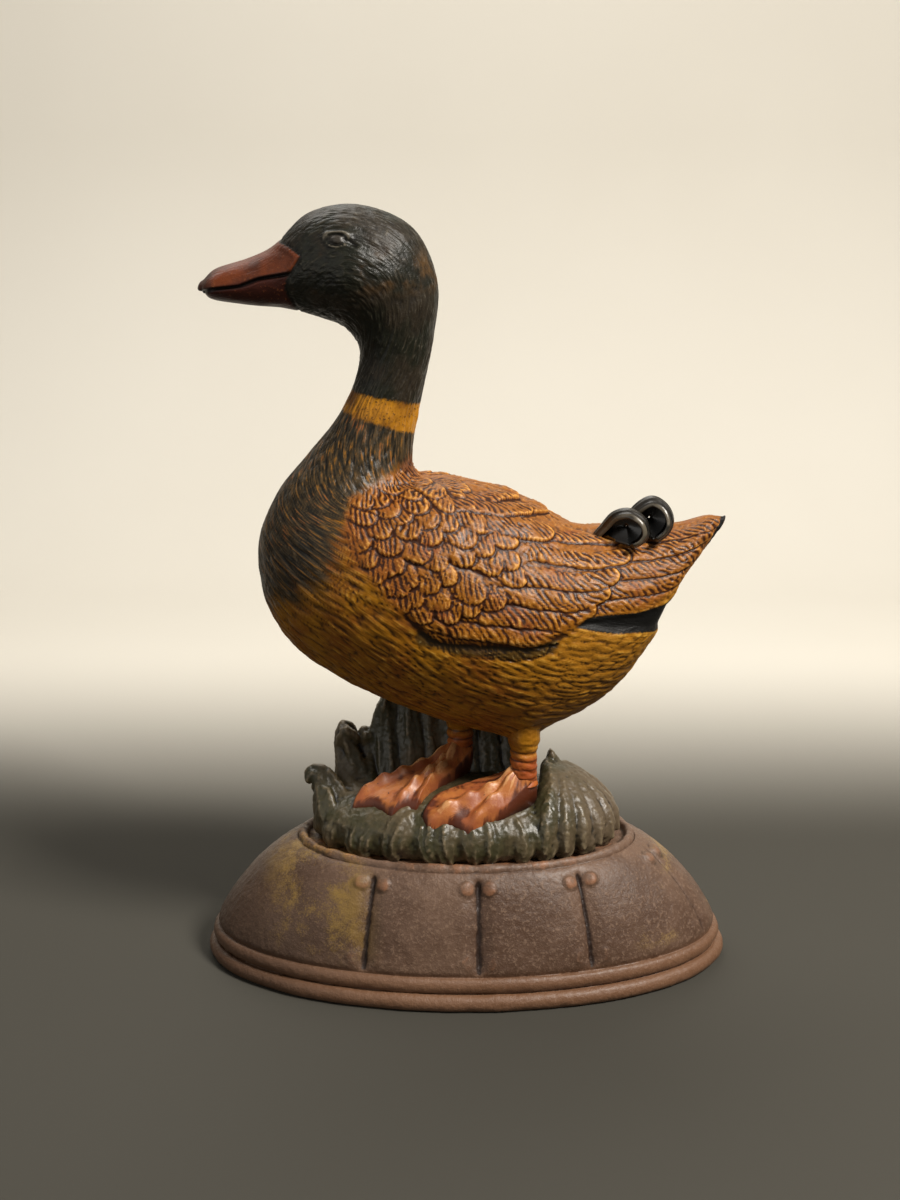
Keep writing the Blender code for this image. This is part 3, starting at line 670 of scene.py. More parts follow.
def sculpt_under_tail(skin):
    """The dark recess under the tail."""
    edge = -polygon_distance(rounded(UNDER_TAIL), skin.x, skin.z)
    inside = ease(-0.0008, 0.0030, edge)
    skin.lift = skin.lift * (1.0 - inside) - TAIL_RECESS * inside * skin.seam
    skin.shade = skin.shade * (1.0 - inside)


def sculpt_head(skin):
    """The eye in its lids, the brow, the cheek, and the bill."""
    dx = (skin.x - EYE[0]) / EYE_REACH[0]
    dz = (skin.z - EYE[1]) / EYE_REACH[1]
    radius = np.sqrt(dx**2 + (dz - 0.22 * dx**2) ** 2)
    side = ease(0.004, 0.008, skin.points[..., 1])
    ball = 0.0010 * np.sqrt(np.maximum(1.0 - (radius / 0.80) ** 2, 0.0))
    lid = 0.00060 * bell(radius - 1.10, 0.22) - 0.00055 * bell(radius - 0.84, 0.15)
    upper = 0.0004 * bell(radius - 1.15, 0.30) * ease(-0.2, 0.8, dz)
    calm = 1.0 - 0.9 * bell(radius, 1.0)
    corner = -0.0008 * bell(segment_distance(*EYE_CORNER, skin.x, skin.z), 0.0008)
    skin.lift = skin.lift * calm + (ball + lid + upper + corner) * side
    lore = np.hypot((skin.x - LORE[0]) / 0.0075, (skin.z - LORE[1]) / 0.0045)
    cheek = np.hypot((skin.x - CHEEK[0]) / 0.0105, (skin.z - CHEEK[1]) / 0.0075)
    socket = segment_distance(*SOCKET, skin.x, skin.z)
    shape = 0.0009 * bell(cheek, 1.0) - 0.0005 * bell(lore, 1.0) - 0.0006 * bell(socket, 0.0022)
    skin.lift += shape * side
    sculpt_bill(skin)
    skin.eye = ease(0.86, 0.78, radius) * side


def sculpt_bill(skin):
    """The mouth line, the fuller upper bill, the nostril, the nail and the rim at the bill's root."""
    edge = polygon_distance(BILL, skin.x, skin.z)
    inside = ease(0.0, 0.0006, -edge)
    mouth = line_distance(MOUTH, skin.x, skin.z)
    mouth_z = np.interp(skin.x, *zip(*MOUTH))
    upper = ease(-0.0004, 0.0006, skin.z - mouth_z)
    bill = -0.0011 * bell(mouth, 0.00055) + 0.00065 * upper * bell(mouth, 0.0022)
    bill += -0.00015 * bell(segment_distance(*NOSTRIL, skin.x, skin.z), 0.0007)
    bill += 0.00012 * grain(skin.points, 0.003, skin.seed + 11)
    bill += 0.0006 * bell(np.hypot((skin.x - BILL_NAIL[0]) / 0.0035, (skin.z - BILL_NAIL[1]) / 0.003), 1.0)
    rim = 0.00035 * bell(edge + 0.0008, 0.0012) * ease(-0.066, -0.0640, skin.x + 0.35 * (skin.z - 0.2750))
    skin.lift += (bill + rim) * inside * (0.3 + 0.7 * skin.seam)
    skin.lift -= 0.0004 * bell(edge - 0.0004, 0.0005)


def sculpt_thigh(skin, centre, side):
    """The belly drawn down to meet the leg."""
    away = np.hypot(skin.x - centre[0], skin.points[..., 1] - side * centre[1])
    under = ease(0.2, -0.5, skin.normals[..., 2])
    skin.drop = sum(rise * bell(away, reach) for rise, reach in THIGH_SWELLS) * under


def drake_half(name, side, centre, seed):
    """One half casting of the drake: hollow, with a flat seam face, and its leg."""
    skin = Skin(seed)
    sculpt_plumage(skin)
    sculpt_wing(skin)
    sculpt_under_tail(skin)
    sculpt_head(skin)
    sculpt_thigh(skin, centre, side)
    outer = skin.points + skin.normals * skin.lift[..., None]
    outer[..., 2] -= skin.drop
    outer[:, (0, -1), 1] = GAP / 2
    outer[..., 1] = np.maximum(outer[..., 1], GAP / 2)
    if side > 0:
        for node, (x, z) in SCREWS.items():
            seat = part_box(node)[1].y - SCREW_HEAD
            pocket = np.hypot(outer[..., 0] - x, outer[..., 2] - z) < SCREW_POCKET
            outer[..., 1] = np.where(pocket, seat, outer[..., 1])
    relief = skin.lift - soften(skin.lift, 10)
    grids = [np.concatenate((outer, inner_side(skin)), axis=1)]
    grids.append(leg_grid(centre[0], side * centre[1], seed))
    count = INNER_COLUMNS
    fields = {}
    for label, values in skin_fields(skin, relief).items():
        spare = values[:, -1:]
        fields[label] = np.concatenate((values, np.repeat(spare, count, axis=1)), axis=1)
    leg_points = grids[1].reshape(-1, 3)
    fields = {label: flat_field(values) for label, values in fields.items()}
    for label, values in leg_fields(leg_points, fields).items():
        fields[label] = np.concatenate((fields[label], values))
    faces = grid_faces(grids[0])
    faces += grid_faces(grids[1], first=grids[0].shape[0] * grids[0].shape[1])
    points = np.concatenate([grid.reshape(-1, 3) for grid in grids])
    if side < 0:
        points = points * (1, -1, 1)
        faces = [face[::-1] for face in faces]
    return make_mesh(name, points, faces, fields)


def flat_field(values):
    """A grid of numbers or of vectors as one row for each vertex."""
    return values.reshape(-1, 3) if values.ndim == 3 else values.ravel()


def inner_side(skin):
    """The rest of each section's loop: the flat seam face, and the hollow behind it."""
    turn = np.linspace(math.pi, 0, INNER_COLUMNS)
    back = skin.rows[:, 0:2]
    front = skin.rows[:, 2:4]
    reach = (back - front) / 2
    length = np.linalg.norm(reach, axis=1)
    kept = np.maximum(1 - WALL / length, 0.5)
    place = ((back + front) / 2)[:, None] + (reach * kept[:, None])[:, None] * np.cos(turn)[None, :, None]
    depth = np.where(skin.hollow, np.maximum(skin.rows[:, 4] - WALL, 0.0), 0.0)
    y = GAP / 2 + depth[:, None] * np.sin(turn)[None, :]
    return np.stack((place[..., 0], y, place[..., 1]), axis=-1)


def skin_fields(skin, relief):
    """The values that the paint is laid by: how far each place is from each border, in millimetres."""
    x = skin.x
    z = skin.z
    ring_z = np.interp(x, *zip(*RING_FOOT))
    under_tail = -polygon_distance(rounded(UNDER_TAIL), x, z)
    return {
        # The relief value, lowered by the painted shade of the feather edges and barb grooves
        "relief": np.clip(relief / 0.0005 - 1.1 * skin.shade, -1.0, 1.0),
        "head": -polygon_distance(HEAD, x, z) / MM,
        "ring": (z - ring_z) / MM,
        "bill": -polygon_distance(BILL, x, z) / MM,
        "mouth": line_distance(MOUTH, x, z) / MM,
        "breast": -polygon_distance(BREAST, x, z) / MM,
        "orange": -polygon_distance(ORANGE, x, z) / MM,
        "black": np.maximum(under_tail, TAIL_RIM_WIDTH - line_distance(TAIL_RIM, x, z)) / MM,
        "fringe": (FRINGE_HALF_WIDTH - line_distance(FRINGE, x, z)) / MM,
        "eye": skin.eye,
        "leg": np.zeros(x.shape),
        "flow": np.stack((skin.along, skin.around, np.zeros(x.shape)), axis=-1),
    }


# Legs

def leg_grid(x, y, seed):
    """A leg as loops from ankle to belly, with uneven creased rings."""
    levels = np.linspace(ANKLE + GAP, LEG_TOP, LEG_ROWS)
    turns = np.linspace(0, 2 * math.pi, LEG_AROUND, endpoint=False)
    z, turn = np.meshgrid(levels, turns, indexing="ij")
    tilt = 0.0008 * np.sin(turn + 0.8) + 0.0004 * np.sin(2 * turn + seed)
    uneven = 0.0012 * noise(z / 0.006, np.cos(turn), np.sin(turn), seed + 20)
    phase = (z - ANKLE + tilt + uneven) / RIDGE_PITCH
    strength = 0.7 + 0.5 * noise(z / 0.003, np.cos(turn) * 2, np.sin(turn) * 2, seed + 22)
    ridge = RIDGE_HEIGHT * (1.9 * np.abs(np.sin(math.pi * phase)) ** 0.9 - 1) * strength
    radius = LEG_RADIUS + ridge * ease(THIGH + 0.003, THIGH - 0.002, z)
    flare = THIGH_FLARE * ease(THIGH - 0.003, THIGH + 0.003, z) + ANKLE_FLARE * ease(ANKLE + 0.003, ANKLE, z)
    radius += flare
    wrinkle = noise(np.cos(turn) * 3, np.sin(turn) * 3, z / 0.0012, seed + 21)
    radius += 0.00018 * wrinkle
    return np.stack((x + radius * np.cos(turn), y + radius * np.sin(turn), z), axis=-1)


def leg_fields(points, fields):
    """The same paint values for the leg's vertices."""
    count = len(points)
    result = {}
    for label, values in fields.items():
        shape = (count, 3) if values.ndim == 2 else (count,)
        result[label] = np.full(shape, -40.0)
    phase = (points[:, 2] - ANKLE) / RIDGE_PITCH
    below_thigh = ease(THIGH + 0.003, THIGH - 0.003, points[:, 2])
    # The leg's relief, which lays painted shade in the creases between its rings
    result["relief"] = (np.abs(np.sin(math.pi * phase)) - 0.5) * below_thigh
    result["mouth"] = np.full(count, 40.0)
    result["eye"] = np.zeros(count)
    result["leg"] = ease(THIGH, THIGH - 0.007, points[:, 2])
    result["flow"] = points
    return result


# Tussock and feet

def mound_height(x, y):
    """Height of the tussock's smooth mound."""
    radius = np.minimum(np.hypot(x / MOUND_HALF_LENGTH, y / MOUND_HALF_WIDTH), 1.0)
    return MOUND_EDGE + (MOUND_CROWN - MOUND_EDGE) * (1 - radius**2.4) ** 0.6


def clump_height(x):
    """Height of the tall clump's outline here."""
    return float(np.interp(x, *zip(*CLUMP_OUTLINE)))


def mound_grid():
    """The tussock's core, from its flat foot inside the collar up over the crown."""
    turns = np.linspace(0, 2 * math.pi, 120, endpoint=False)
    loops = []
    for scale, z in ((0.88, PLATE_TOP + GAP), (0.93, 0.0508), (0.965, 0.0530), (0.97, 0.0550)):
        x = MOUND_HALF_LENGTH * scale * np.cos(turns)
        y = MOUND_HALF_WIDTH * scale * np.sin(turns)
        loops.append(np.stack((x, y, np.full(len(turns), z)), axis=-1))
    for ring in range(24):
        scale = 0.965 * (1 - ring / 24.5)
        x = MOUND_HALF_LENGTH * scale * np.cos(turns)
        y = MOUND_HALF_WIDTH * scale * np.sin(turns)
        loops.append(np.stack((x, y, mound_height(x, y)), axis=-1))
    return np.array(loops)


def leaf_grid(path, half_width, thickness, facing, ribs, tip, seed, taper=0.0):
    """A ribbed blade swept along a path of (x, y, z), wide in the middle and narrower at its tip."""
    times = np.linspace(0, len(path) - 1, LEAF_ROWS)
    spine = spline(path, times)
    run = np.gradient(spine, axis=0)
    run /= np.linalg.norm(run, axis=1, keepdims=True)
    outward = np.array(facing, float) - run * (run @ np.array(facing, float))[:, None]
    outward /= np.linalg.norm(outward, axis=1, keepdims=True)
    sideways = np.cross(run, outward)
    share = np.linspace(0, 1, LEAF_ROWS)
    body = np.sin(math.pi * np.clip(share * 0.80 + 0.12, 0, 1)) ** 0.6
    end = tip + (1 - tip) * np.sqrt(np.clip((1 - share) * 5.0, 0, 1))
    width = half_width * body * end * (1 - taper * share)
    turn = np.linspace(0, 2 * math.pi, LEAF_AROUND, endpoint=False)
    across = np.cos(turn)[None, :] * width[:, None]
    wave = np.cos(math.pi * ribs * np.cos(turn))[None, :] * np.clip(np.sin(turn), 0, 1)[None, :]
    wander = noise(share[:, None] * 2.0, np.cos(turn)[None, :] * 2, seed * 0.91, seed + 31)
    up = np.sin(turn)[None, :] * thickness / 2 * (0.6 + 0.4 * end[:, None])
    up = up + LEAF_RIB * wave * (0.7 + 0.5 * wander)
    cup = -0.10 * (np.cos(turn)[None, :] ** 2) * width[:, None]
    return spine[:, None] + sideways[:, None] * across[..., None] + outward[:, None] * (up + cup)[..., None]


def clump_leaves(number, x):
    """Two blades of the tall clump behind the legs, one towards the legs and one on the far side."""
    top = clump_height(x) + 0.0015 * chance(number, 2, 9, 4)
    wave = 0.0014 * chance(number, 4, 4, 7)
    near = ((x + 0.006 + wave, -0.004, 0.0655), (x + 0.002, 0.005, 0.0690),
            (x, 0.0115 + wave, (top + 0.068) / 2), (x - 0.001, 0.0145, top - 0.004),
            (x - 0.0025, 0.0152, top))
    facing = (0.3 * wave / MM, -1, 0.25)
    near_leaf = leaf_grid(near, 0.0062 + 0.5 * wave, 0.0046, facing, 2, 0.35, number, 0.25)
    reach = math.sqrt(max(0.15, 1 - (x / MOUND_HALF_LENGTH) ** 2))
    far = ((x * 1.02, 0.0285 * reach, 0.0515), (x * 1.03, 0.0280 * reach, 0.0600),
           (x, 0.0235 * reach, (top + 0.062) / 2), (x, 0.0185 * reach, top - 0.006),
           (x - 0.001, 0.0165 * reach, top - 0.001))
    return [near_leaf, leaf_grid(far, 0.0056, 0.0048, (0, 1, 0.2), 3, 0.30, number + 40)]


def tussock_leaves():
    """Blades over the mound: a clump behind the legs, lobes over the rim, spikes and a tail lobe."""
    leaves = []
    number = 0
    for x in np.arange(-0.0480, 0.0240, 0.0084):
        number += 1
        leaves += clump_leaves(number, x)
    for degrees in range(10, 350, 10):
        number += 1
        turn = math.radians(degrees + 4.0 * chance(number, 1, 6, 3))
        leaves.append(rim_lobe(turn, number))
    leaves += spike_leaves() + tail_lobe()
    return leaves


def rim_lobe(turn, number):
    """A tongue of grass that hangs over the mound's edge."""
    wander = chance(number, 5, 2, 8)
    slant = 0.10 * chance(number, 8, 3, 5)
    outward = np.array((math.cos(turn) / MOUND_HALF_LENGTH, math.sin(turn) / MOUND_HALF_WIDTH, 0.0))
    outward /= np.linalg.norm(outward)
    path = []
    for step, (scale, z) in enumerate(RIM_LOBE):
        leaning = turn + slant * step / len(RIM_LOBE)
        x = MOUND_HALF_LENGTH * scale * math.cos(leaning)
        y = MOUND_HALF_WIDTH * scale * math.sin(leaning)
        path.append((x, y, z + 0.0012 * wander * (0 < step < len(RIM_LOBE) - 1)))
    return leaf_grid(path, 0.0056 + 0.0016 * wander, 0.0046, (outward[0], outward[1], 0.7), 3, 0.85, number)


def spike_leaves():
    """The pointed blades at the bill's end."""
    tall = ((-0.043, 0.003, 0.060), (-0.0440, 0.007, 0.070), (-0.0462, 0.010, 0.080),
            (-0.0512, 0.012, 0.0918))
    low = ((-0.047, -0.006, 0.057), (-0.0525, -0.002, 0.065), (-0.0580, 0.002, 0.0720),
           (-0.0618, 0.004, 0.0732), (-0.0640, 0.003, 0.0700))
    side = ((-0.053, -0.010, 0.053), (-0.0560, -0.007, 0.060), (-0.0575, -0.003, 0.066),
            (-0.0590, 0.001, 0.0705))
    peak = ((-0.035, 0.010, 0.072), (-0.0342, 0.013, 0.086), (-0.0335, 0.014, 0.096),
            (-0.0322, 0.0135, 0.1042))
    return [
        leaf_grid(tall, 0.0080, 0.0050, (-0.4, -1, 0.2), 2, 0.10, 71, 0.75),
        leaf_grid(low, 0.0074, 0.0050, (-0.3, -1, 0.5), 2, 0.25, 72, 0.45),
        leaf_grid(side, 0.0058, 0.0046, (-0.7, -1, 0.2), 2, 0.40, 73),
        leaf_grid(peak, 0.0070, 0.0050, (-0.1, -1, 0.1), 2, 0.15, 74, 0.60),
    ]


def tail_lobe():
    """The broad striped lobe at the tail's end, as blades that fan down from its peak."""
    leaves = []
    number = 80
    for x, y, z in ((0.030, -0.0262, 0.052), (0.038, -0.0240, 0.052), (0.0450, -0.0210, 0.052),
                    (0.0512, -0.0165, 0.052), (0.0562, -0.0100, 0.052), (0.0588, -0.0025, 0.052),
                    (0.0580, 0.0075, 0.052), (0.0535, 0.0155, 0.052)):
        number += 1
        away = (x - 0.034) / 0.030
        top = (0.0335 + 0.006 * away, 0.006 + 0.002 * away, 0.0765 - 0.0025 * away)
        swell = (0.036 + (x - 0.036) * 0.45, 0.004 + (y - 0.004) * 0.38, 0.0738 - 0.0032 * away)
        hang = (0.036 + (x - 0.036) * 0.88, 0.004 + (y - 0.004) * 0.85, 0.0645 - 0.0028 * away)
        facing = (0.5 * (x - 0.036) / 0.03, 0.9 * (y - 0.004) / 0.03, 0.8)
        leaves.append(leaf_grid((top, swell, hang, (x, y, z)), 0.0052, 0.0068, facing, 1, 0.60, number))
    spike = ((0.036, 0.004, 0.060), (0.0355, 0.005, 0.068), (0.0348, 0.006, 0.076), (0.0338, 0.007, 0.0832))
    leaves.append(leaf_grid(spike, 0.0068, 0.0050, (0.2, -1, 0.3), 2, 0.15, 90, 0.55))
    return leaves


def tussock(name):
    """The tussock as one skin drawn over the mound and its blades."""
    points = []
    faces = []
    count = 0
    for grid in [mound_grid()] + tussock_leaves():
        faces += grid_faces(grid, first=count)
        points.append(grid.reshape(-1, 3))
        count += len(points[-1])
    rough = make_mesh(f"{name}_rough", np.concatenate(points), faces)
    remesh = rough.modifiers.new("one skin", "REMESH")
    remesh.mode = "VOXEL"
    remesh.voxel_size = TUSSOCK_VOXEL
    settle = rough.modifiers.new("soften", "SMOOTH")
    settle.factor = 0.5
    settle.iterations = 3
    evaluated = rough.evaluated_get(bpy.context.evaluated_depsgraph_get())
    mesh = bpy.data.meshes.new_from_object(evaluated)
    bpy.data.objects.remove(rough)
    mesh.name = name
    mesh.materials.clear()
    item = bpy.data.objects.new(name, mesh)
    bpy.context.scene.collection.objects.link(item)
    place = vertex_places(mesh)
    normals = vertex_normals(mesh)
    tall = place * (1, 1, 0.16)
    lift = 0.00022 * grain(tall, 0.0016, 61) + 0.00016 * grain(place, 0.0011, 63)
    moved = place + normals * lift[:, None]
    moved[:, 2] = np.maximum(moved[:, 2], PLATE_TOP + GAP)
    keep_inside_belly(moved)
    mesh.vertices.foreach_set("co", moved.astype(np.float32).ravel())
    attribute = mesh.attributes.new("relief", "FLOAT", "POINT")
    attribute.data.foreach_set("value", bulge(mesh, moved, normals).astype(np.float32))
    mesh.shade_smooth()
    mesh.update()
    return item


def keep_inside_belly(points):
    """Presses the tops of the blades down where the belly rests on them."""
    sections = spline(STATIONS, np.linspace(11, 19, 400))
    belly = np.interp(points[:, 0], sections[:, 2], sections[:, 3])
    low = sections[:, 3].min()
    width = np.interp(points[:, 0], sections[:, 2], sections[:, 4])
    away = np.clip(np.abs(points[:, 1]) / width, 0, 0.98)
    ceiling = np.maximum(belly, low) + BELLY_ROUND * (1 - np.sqrt(1 - away**2)) - BELLY_GAP
    over = (points[:, 0] > -0.060) & (points[:, 0] < 0.070)
    points[:, 2] = np.where(over, np.minimum(points[:, 2], ceiling), points[:, 2])


def vertex_places(mesh):
    """Each vertex's place, as rows of an array."""
    flat = np.zeros(len(mesh.vertices) * 3, np.float32)
    mesh.vertices.foreach_get("co", flat)
    return flat.reshape(-1, 3).astype(float)


def vertex_normals(mesh):
    """Each vertex's normal, as rows of an array."""
    flat = np.zeros(len(mesh.vertices) * 3, np.float32)
    mesh.vertex_normals.foreach_get("vector", flat)
    return flat.reshape(-1, 3).astype(float)


def bulge(mesh, points, normals):
    """How far each vertex stands out from the mean of those around it, from -1 to 1."""
    pairs = np.zeros(len(mesh.edges) * 2, np.int32)
    mesh.edges.foreach_get("vertices", pairs)
    one, other = pairs.reshape(-1, 2).T
    count = np.bincount(one, minlength=len(points)) + np.bincount(other, minlength=len(points))
    count = np.maximum(count, 1)[:, None]
    mean = points.copy()
    for _ in range(9):
        total = np.zeros(points.shape)
        np.add.at(total, one, mean[other])
        np.add.at(total, other, mean[one])
        mean = total / count
    return np.clip(np.sum((points - mean) * normals, axis=1) / 0.0006, -1.0, 1.0)


def webbed_foot(name, outline, toes, ankle, seed):
    """A webbed foot draped over the mound, with a ridge along each toe and slack webs between."""
    corners = np.array(outline)
    steps = 16
    edge = []
    for corner, after in zip(corners, np.roll(corners, -1, axis=0)):
        for step in range(steps):
            edge.append(corner + (after - corner) * step / steps)
    edge = np.array(edge)
    for _ in range(5):
        edge = (np.roll(edge, 1, axis=0) + 2 * edge + np.roll(edge, -1, axis=0)) / 4
    centre = np.array(ankle)
    shares = np.concatenate((np.linspace(0.02, 0.94, 34), [0.965, 0.985, 1.0]))
    top = np.array([centre + (edge - centre) * share for share in shares])
    x = top[..., 0]
    y = top[..., 1]
    rim = np.clip((1 - shares) / 0.075, 0, 1)[:, None]
    z = mound_height(x, y) + 0.0008 + FOOT_THICKNESS * np.sqrt(1 - (1 - rim) ** 2)
    away = np.hypot(x - centre[0], y - centre[1])
    turn = np.arctan2(y - centre[1], x - centre[0])
    ridge = 0.0
    for toe in toes:
        distance = segment_distance(ankle, toe, x, y)
        reach = np.hypot(toe[0] - centre[0], toe[1] - centre[1])
        knuckles = 1 + 0.25 * np.cos(away / KNUCKLE_PITCH * math.pi + toe[0] * 300)
        toe_ridge = knuckles * bell(distance, TOE_WIDTH) * ease(reach * 1.05, reach * 0.75, away)
        ridge = np.maximum(ridge, toe_ridge)
    web = WEB_SAG * (1 - ridge) * ease(0.002, 0.010, away)
    creases = 0.00030 * noise(turn * 9, away / 0.009, 0.3, seed)
    creases = creases + 0.00016 * noise(x / 0.0007, y / 0.0012, 0.7, seed)
    instep = sum(rise * bell(away, reach) for rise, reach in INSTEP_SWELLS)
    z = z + (TOE_RISE * ridge - web + creases) * (0.3 + 0.7 * rim) + instep
    upper = np.stack((x, y, z), axis=-1)
    under = upper[::-4].copy()
    under[..., 2] = mound_height(under[..., 0], under[..., 1]) - FOOT_THICKNESS
    points = np.concatenate((upper, under))
    relief = (ridge - 0.35) * 0.9 + creases / 0.0004
    # Painted shade round the foot's edge between the toes
    relief = relief - 0.7 * (1 - rim) ** 2 * (ridge < 0.5)
    spare = np.zeros(under.shape[:2]) - 1
    fields = {"relief": np.clip(np.concatenate((relief, spare)), -1, 1).ravel()}
    return make_mesh(name, points, grid_faces(points), fields)


# Base

def base_profile():
    """The two plinth mouldings as rows of half length, half width and height."""
    rows = []
    for start, top, inset, roundness, first, last, count in (
        (0.0, LOWER_MOULDING, 0.0, 0.0030, -80, 88, 22),
        (LOWER_MOULDING, UPPER_MOULDING, 0.0020, 0.0024, -88, 86, 20),
    ):
        for degrees in np.linspace(first, last, count):
            turn = math.radians(degrees)
            out = inset + roundness * (1 - math.cos(turn))
            z = (start + top) / 2 + (top - start) / 2 * math.sin(turn)
            rows.append((BASE_HALF_LENGTH - out, BASE_HALF_WIDTH - out, z))
    return rows


def dome_profile(rings):
    """The dome's rows, from the top of the plinth in to the collar."""
    rows = []
    foot_length = BASE_HALF_LENGTH - DOME_FOOT_INSET
    foot_width = BASE_HALF_WIDTH - DOME_FOOT_INSET
    for turn in np.linspace(0, math.pi / 2, rings):
        out = math.cos(turn) ** (2 / DOME_POWER)
        up = math.sin(turn) ** (2 / DOME_POWER)
        length = COLLAR_HALF_LENGTH + (foot_length - COLLAR_HALF_LENGTH) * out
        width = COLLAR_HALF_WIDTH + (foot_width - COLLAR_HALF_WIDTH) * out
        rows.append((length, width, UPPER_MOULDING + (PLATE_TOP - UPPER_MOULDING) * up))
    return rows


def collar_profile():
    """The rounded collar bead and the flat plate inside it."""
    rows = []
    for turn in np.linspace(178, 4, 16):
        out = COLLAR_WIDTH / 2 * (1 + math.cos(math.radians(turn)))
        rise = COLLAR_RISE * math.sin(math.radians(turn))
        rows.append((COLLAR_HALF_LENGTH - out, COLLAR_HALF_WIDTH - out, PLATE_TOP + rise))
    for share in (0.9, 0.5, 0.1):
        rows.append((COLLAR_HALF_LENGTH * share, (COLLAR_HALF_WIDTH - 0.002) * share, PLATE_TOP))
    return rows


def under_profile():
    """The inside of the base, from the plate's underside down to the rim."""
    rows = []
    for share in (0.1, 0.5):
        rows.append((COLLAR_HALF_LENGTH * share, COLLAR_HALF_WIDTH * share, PLATE_TOP - WALL))
    for length, width, z in dome_profile(12)[::-1]:
        rows.append((length - WALL, width - WALL, min(z - WALL * 0.6, PLATE_TOP - WALL)))
    rows.append((BASE_HALF_LENGTH - WALL, BASE_HALF_WIDTH - WALL, 0.0))
    return rows


def base_casting(name):
    """The hollow base as one closed skin of oval rings, from the rim up over the dome and back inside."""
    plinth = base_profile()
    dome = dome_profile(70)
    collar = collar_profile()
    under = under_profile()
    rows = np.array(plinth + dome + collar + under)
    kind = np.array([0] * len(plinth) + [1] * len(dome) + [2] * len(collar) + [3] * len(under))
    turn = np.linspace(0, 2 * math.pi, BASE_AROUND, endpoint=False)
    x = rows[:, 0:1] * np.cos(turn)[None, :]
    y = rows[:, 1:2] * np.sin(turn)[None, :]
    z = np.repeat(rows[:, 2:3], BASE_AROUND, axis=1)
    points = np.stack((x, y, z), axis=-1)
    shown = points[kind < 3]
    normals = np.zeros(points.shape)
    normals[kind < 3] = shell_normals(shown)
    lift, panel = dome_relief(points, rows, turn, kind)
    wobble = 0.00050 * noise(np.cos(turn) * 7, np.sin(turn) * 5, 0.4, 77)
    wobble += 0.00035 * noise(np.cos(turn) * 19, np.sin(turn) * 13, 0.1, 78)
    lift += np.where(kind[:, None] == 2, wobble[None, :], 0.0) * (rows[:, 2:3] > PLATE_TOP + 0.0002)
    cast = 0.00011 * grain(points, 0.0016, 81, 3) + 0.00022 * grain(points, 0.012, 85)
    lift += np.where(kind[:, None] < 3, cast, 0.0) * ease(0.0, 0.001, z)
    points = points + normals * lift[..., None]
    points[..., 2] = np.maximum(points[..., 2], 0.0)
    relief = np.clip((lift - soften_around(lift, 12)) / 0.0006, -1, 1)
    fields = {
        "relief": relief.ravel(),
        "collar": np.where(kind[:, None] == 2, 1.0, 0.0 * z).ravel(),
        "joint": panel.ravel(),
    }
    return make_mesh(name, points, grid_faces(points), fields)


def soften_around(field, steps):
    """The same blur as soften, but it runs on past the ends of each loop."""
    wide = np.concatenate((field[:, -steps:], field, field[:, :steps]), axis=1)
    return soften(wide, steps)[:, steps:-steps]


def joint_distance(rows, turn, start):
    """How far each place is along its ring from a joint that leaves the collar's oval square to it."""
    length = rows[:, 0:1]
    width = rows[:, 1:2]
    x = COLLAR_HALF_LENGTH * math.cos(start)
    y = COLLAR_HALF_WIDTH * math.sin(start)
    out_x = math.cos(start) / COLLAR_HALF_LENGTH
    out_y = math.sin(start) / COLLAR_HALF_WIDTH
    square = (out_x / length) ** 2 + (out_y / width) ** 2
    linear = x * out_x / length**2 + y * out_y / width**2
    constant = (x / length) ** 2 + (y / width) ** 2 - 1
    reach = (np.sqrt(np.maximum(linear**2 - square * constant, 0)) - linear) / square
    met = np.arctan2((y + reach * out_y) / width, (x + reach * out_x) / length)
    apart = (turn[None, :] - met + math.pi) % (2 * math.pi) - math.pi
    return np.abs(apart) * np.hypot(length * np.sin(turn), width * np.cos(turn))


def dome_relief(points, rows, turn, kind):
    """Pillowed panels, the creases between them, and a pair of rivets at each end of each crease."""
    z = points[..., 2]
    up = np.clip((z - UPPER_MOULDING) / (PLATE_TOP - UPPER_MOULDING), 0, 1)
    is_dome = (kind[:, None] == 1).astype(float)
    ends = ease(0.00, 0.16, up) * ease(1.0, 0.88, up)
    dip = np.zeros(z.shape)
    crease = np.zeros(z.shape)
    rivets = np.zeros(z.shape)
    for degrees, depth in JOINTS:
        away = joint_distance(rows, turn, math.radians(degrees))
        away = away + 0.00025 * noise(points[..., 0] / 0.004, points[..., 1] / 0.004, z / 0.004, 91)
        dip = np.maximum(dip, depth * ease(PANEL_EDGE, 0.0, away))
        crease = np.maximum(crease, depth * bell(away, CREASE_WIDTH))
        for height, stand in RIVET_ROWS:
            row = int(np.argmin(np.where(kind == 1, np.abs(z[:, 0] - height), 1.0)))
            slant = np.linalg.norm(points - points[row][None], axis=-1)
            distance = np.hypot(slant, away - RIVET_FROM_JOINT)
            button = RIVET_HEIGHT * np.sqrt(np.maximum(1 - (distance / RIVET_RADIUS) ** 2, 0.0))
            rivets = np.maximum(rivets, stand * (button + 0.0003 * bell(distance, 0.0042)))
    foot = 0.0008 * bell((z - UPPER_MOULDING) / 0.0014, 1.0)
    lined = ease(0.01, 0.06, up) * ease(0.97, 0.91, up)
    pillows = PANEL_RISE - PANEL_DIP * dip * ends - CREASE_DEPTH * crease * lined
    return is_dome * (pillows - foot + rivets), is_dome * crease * lined


# Curls

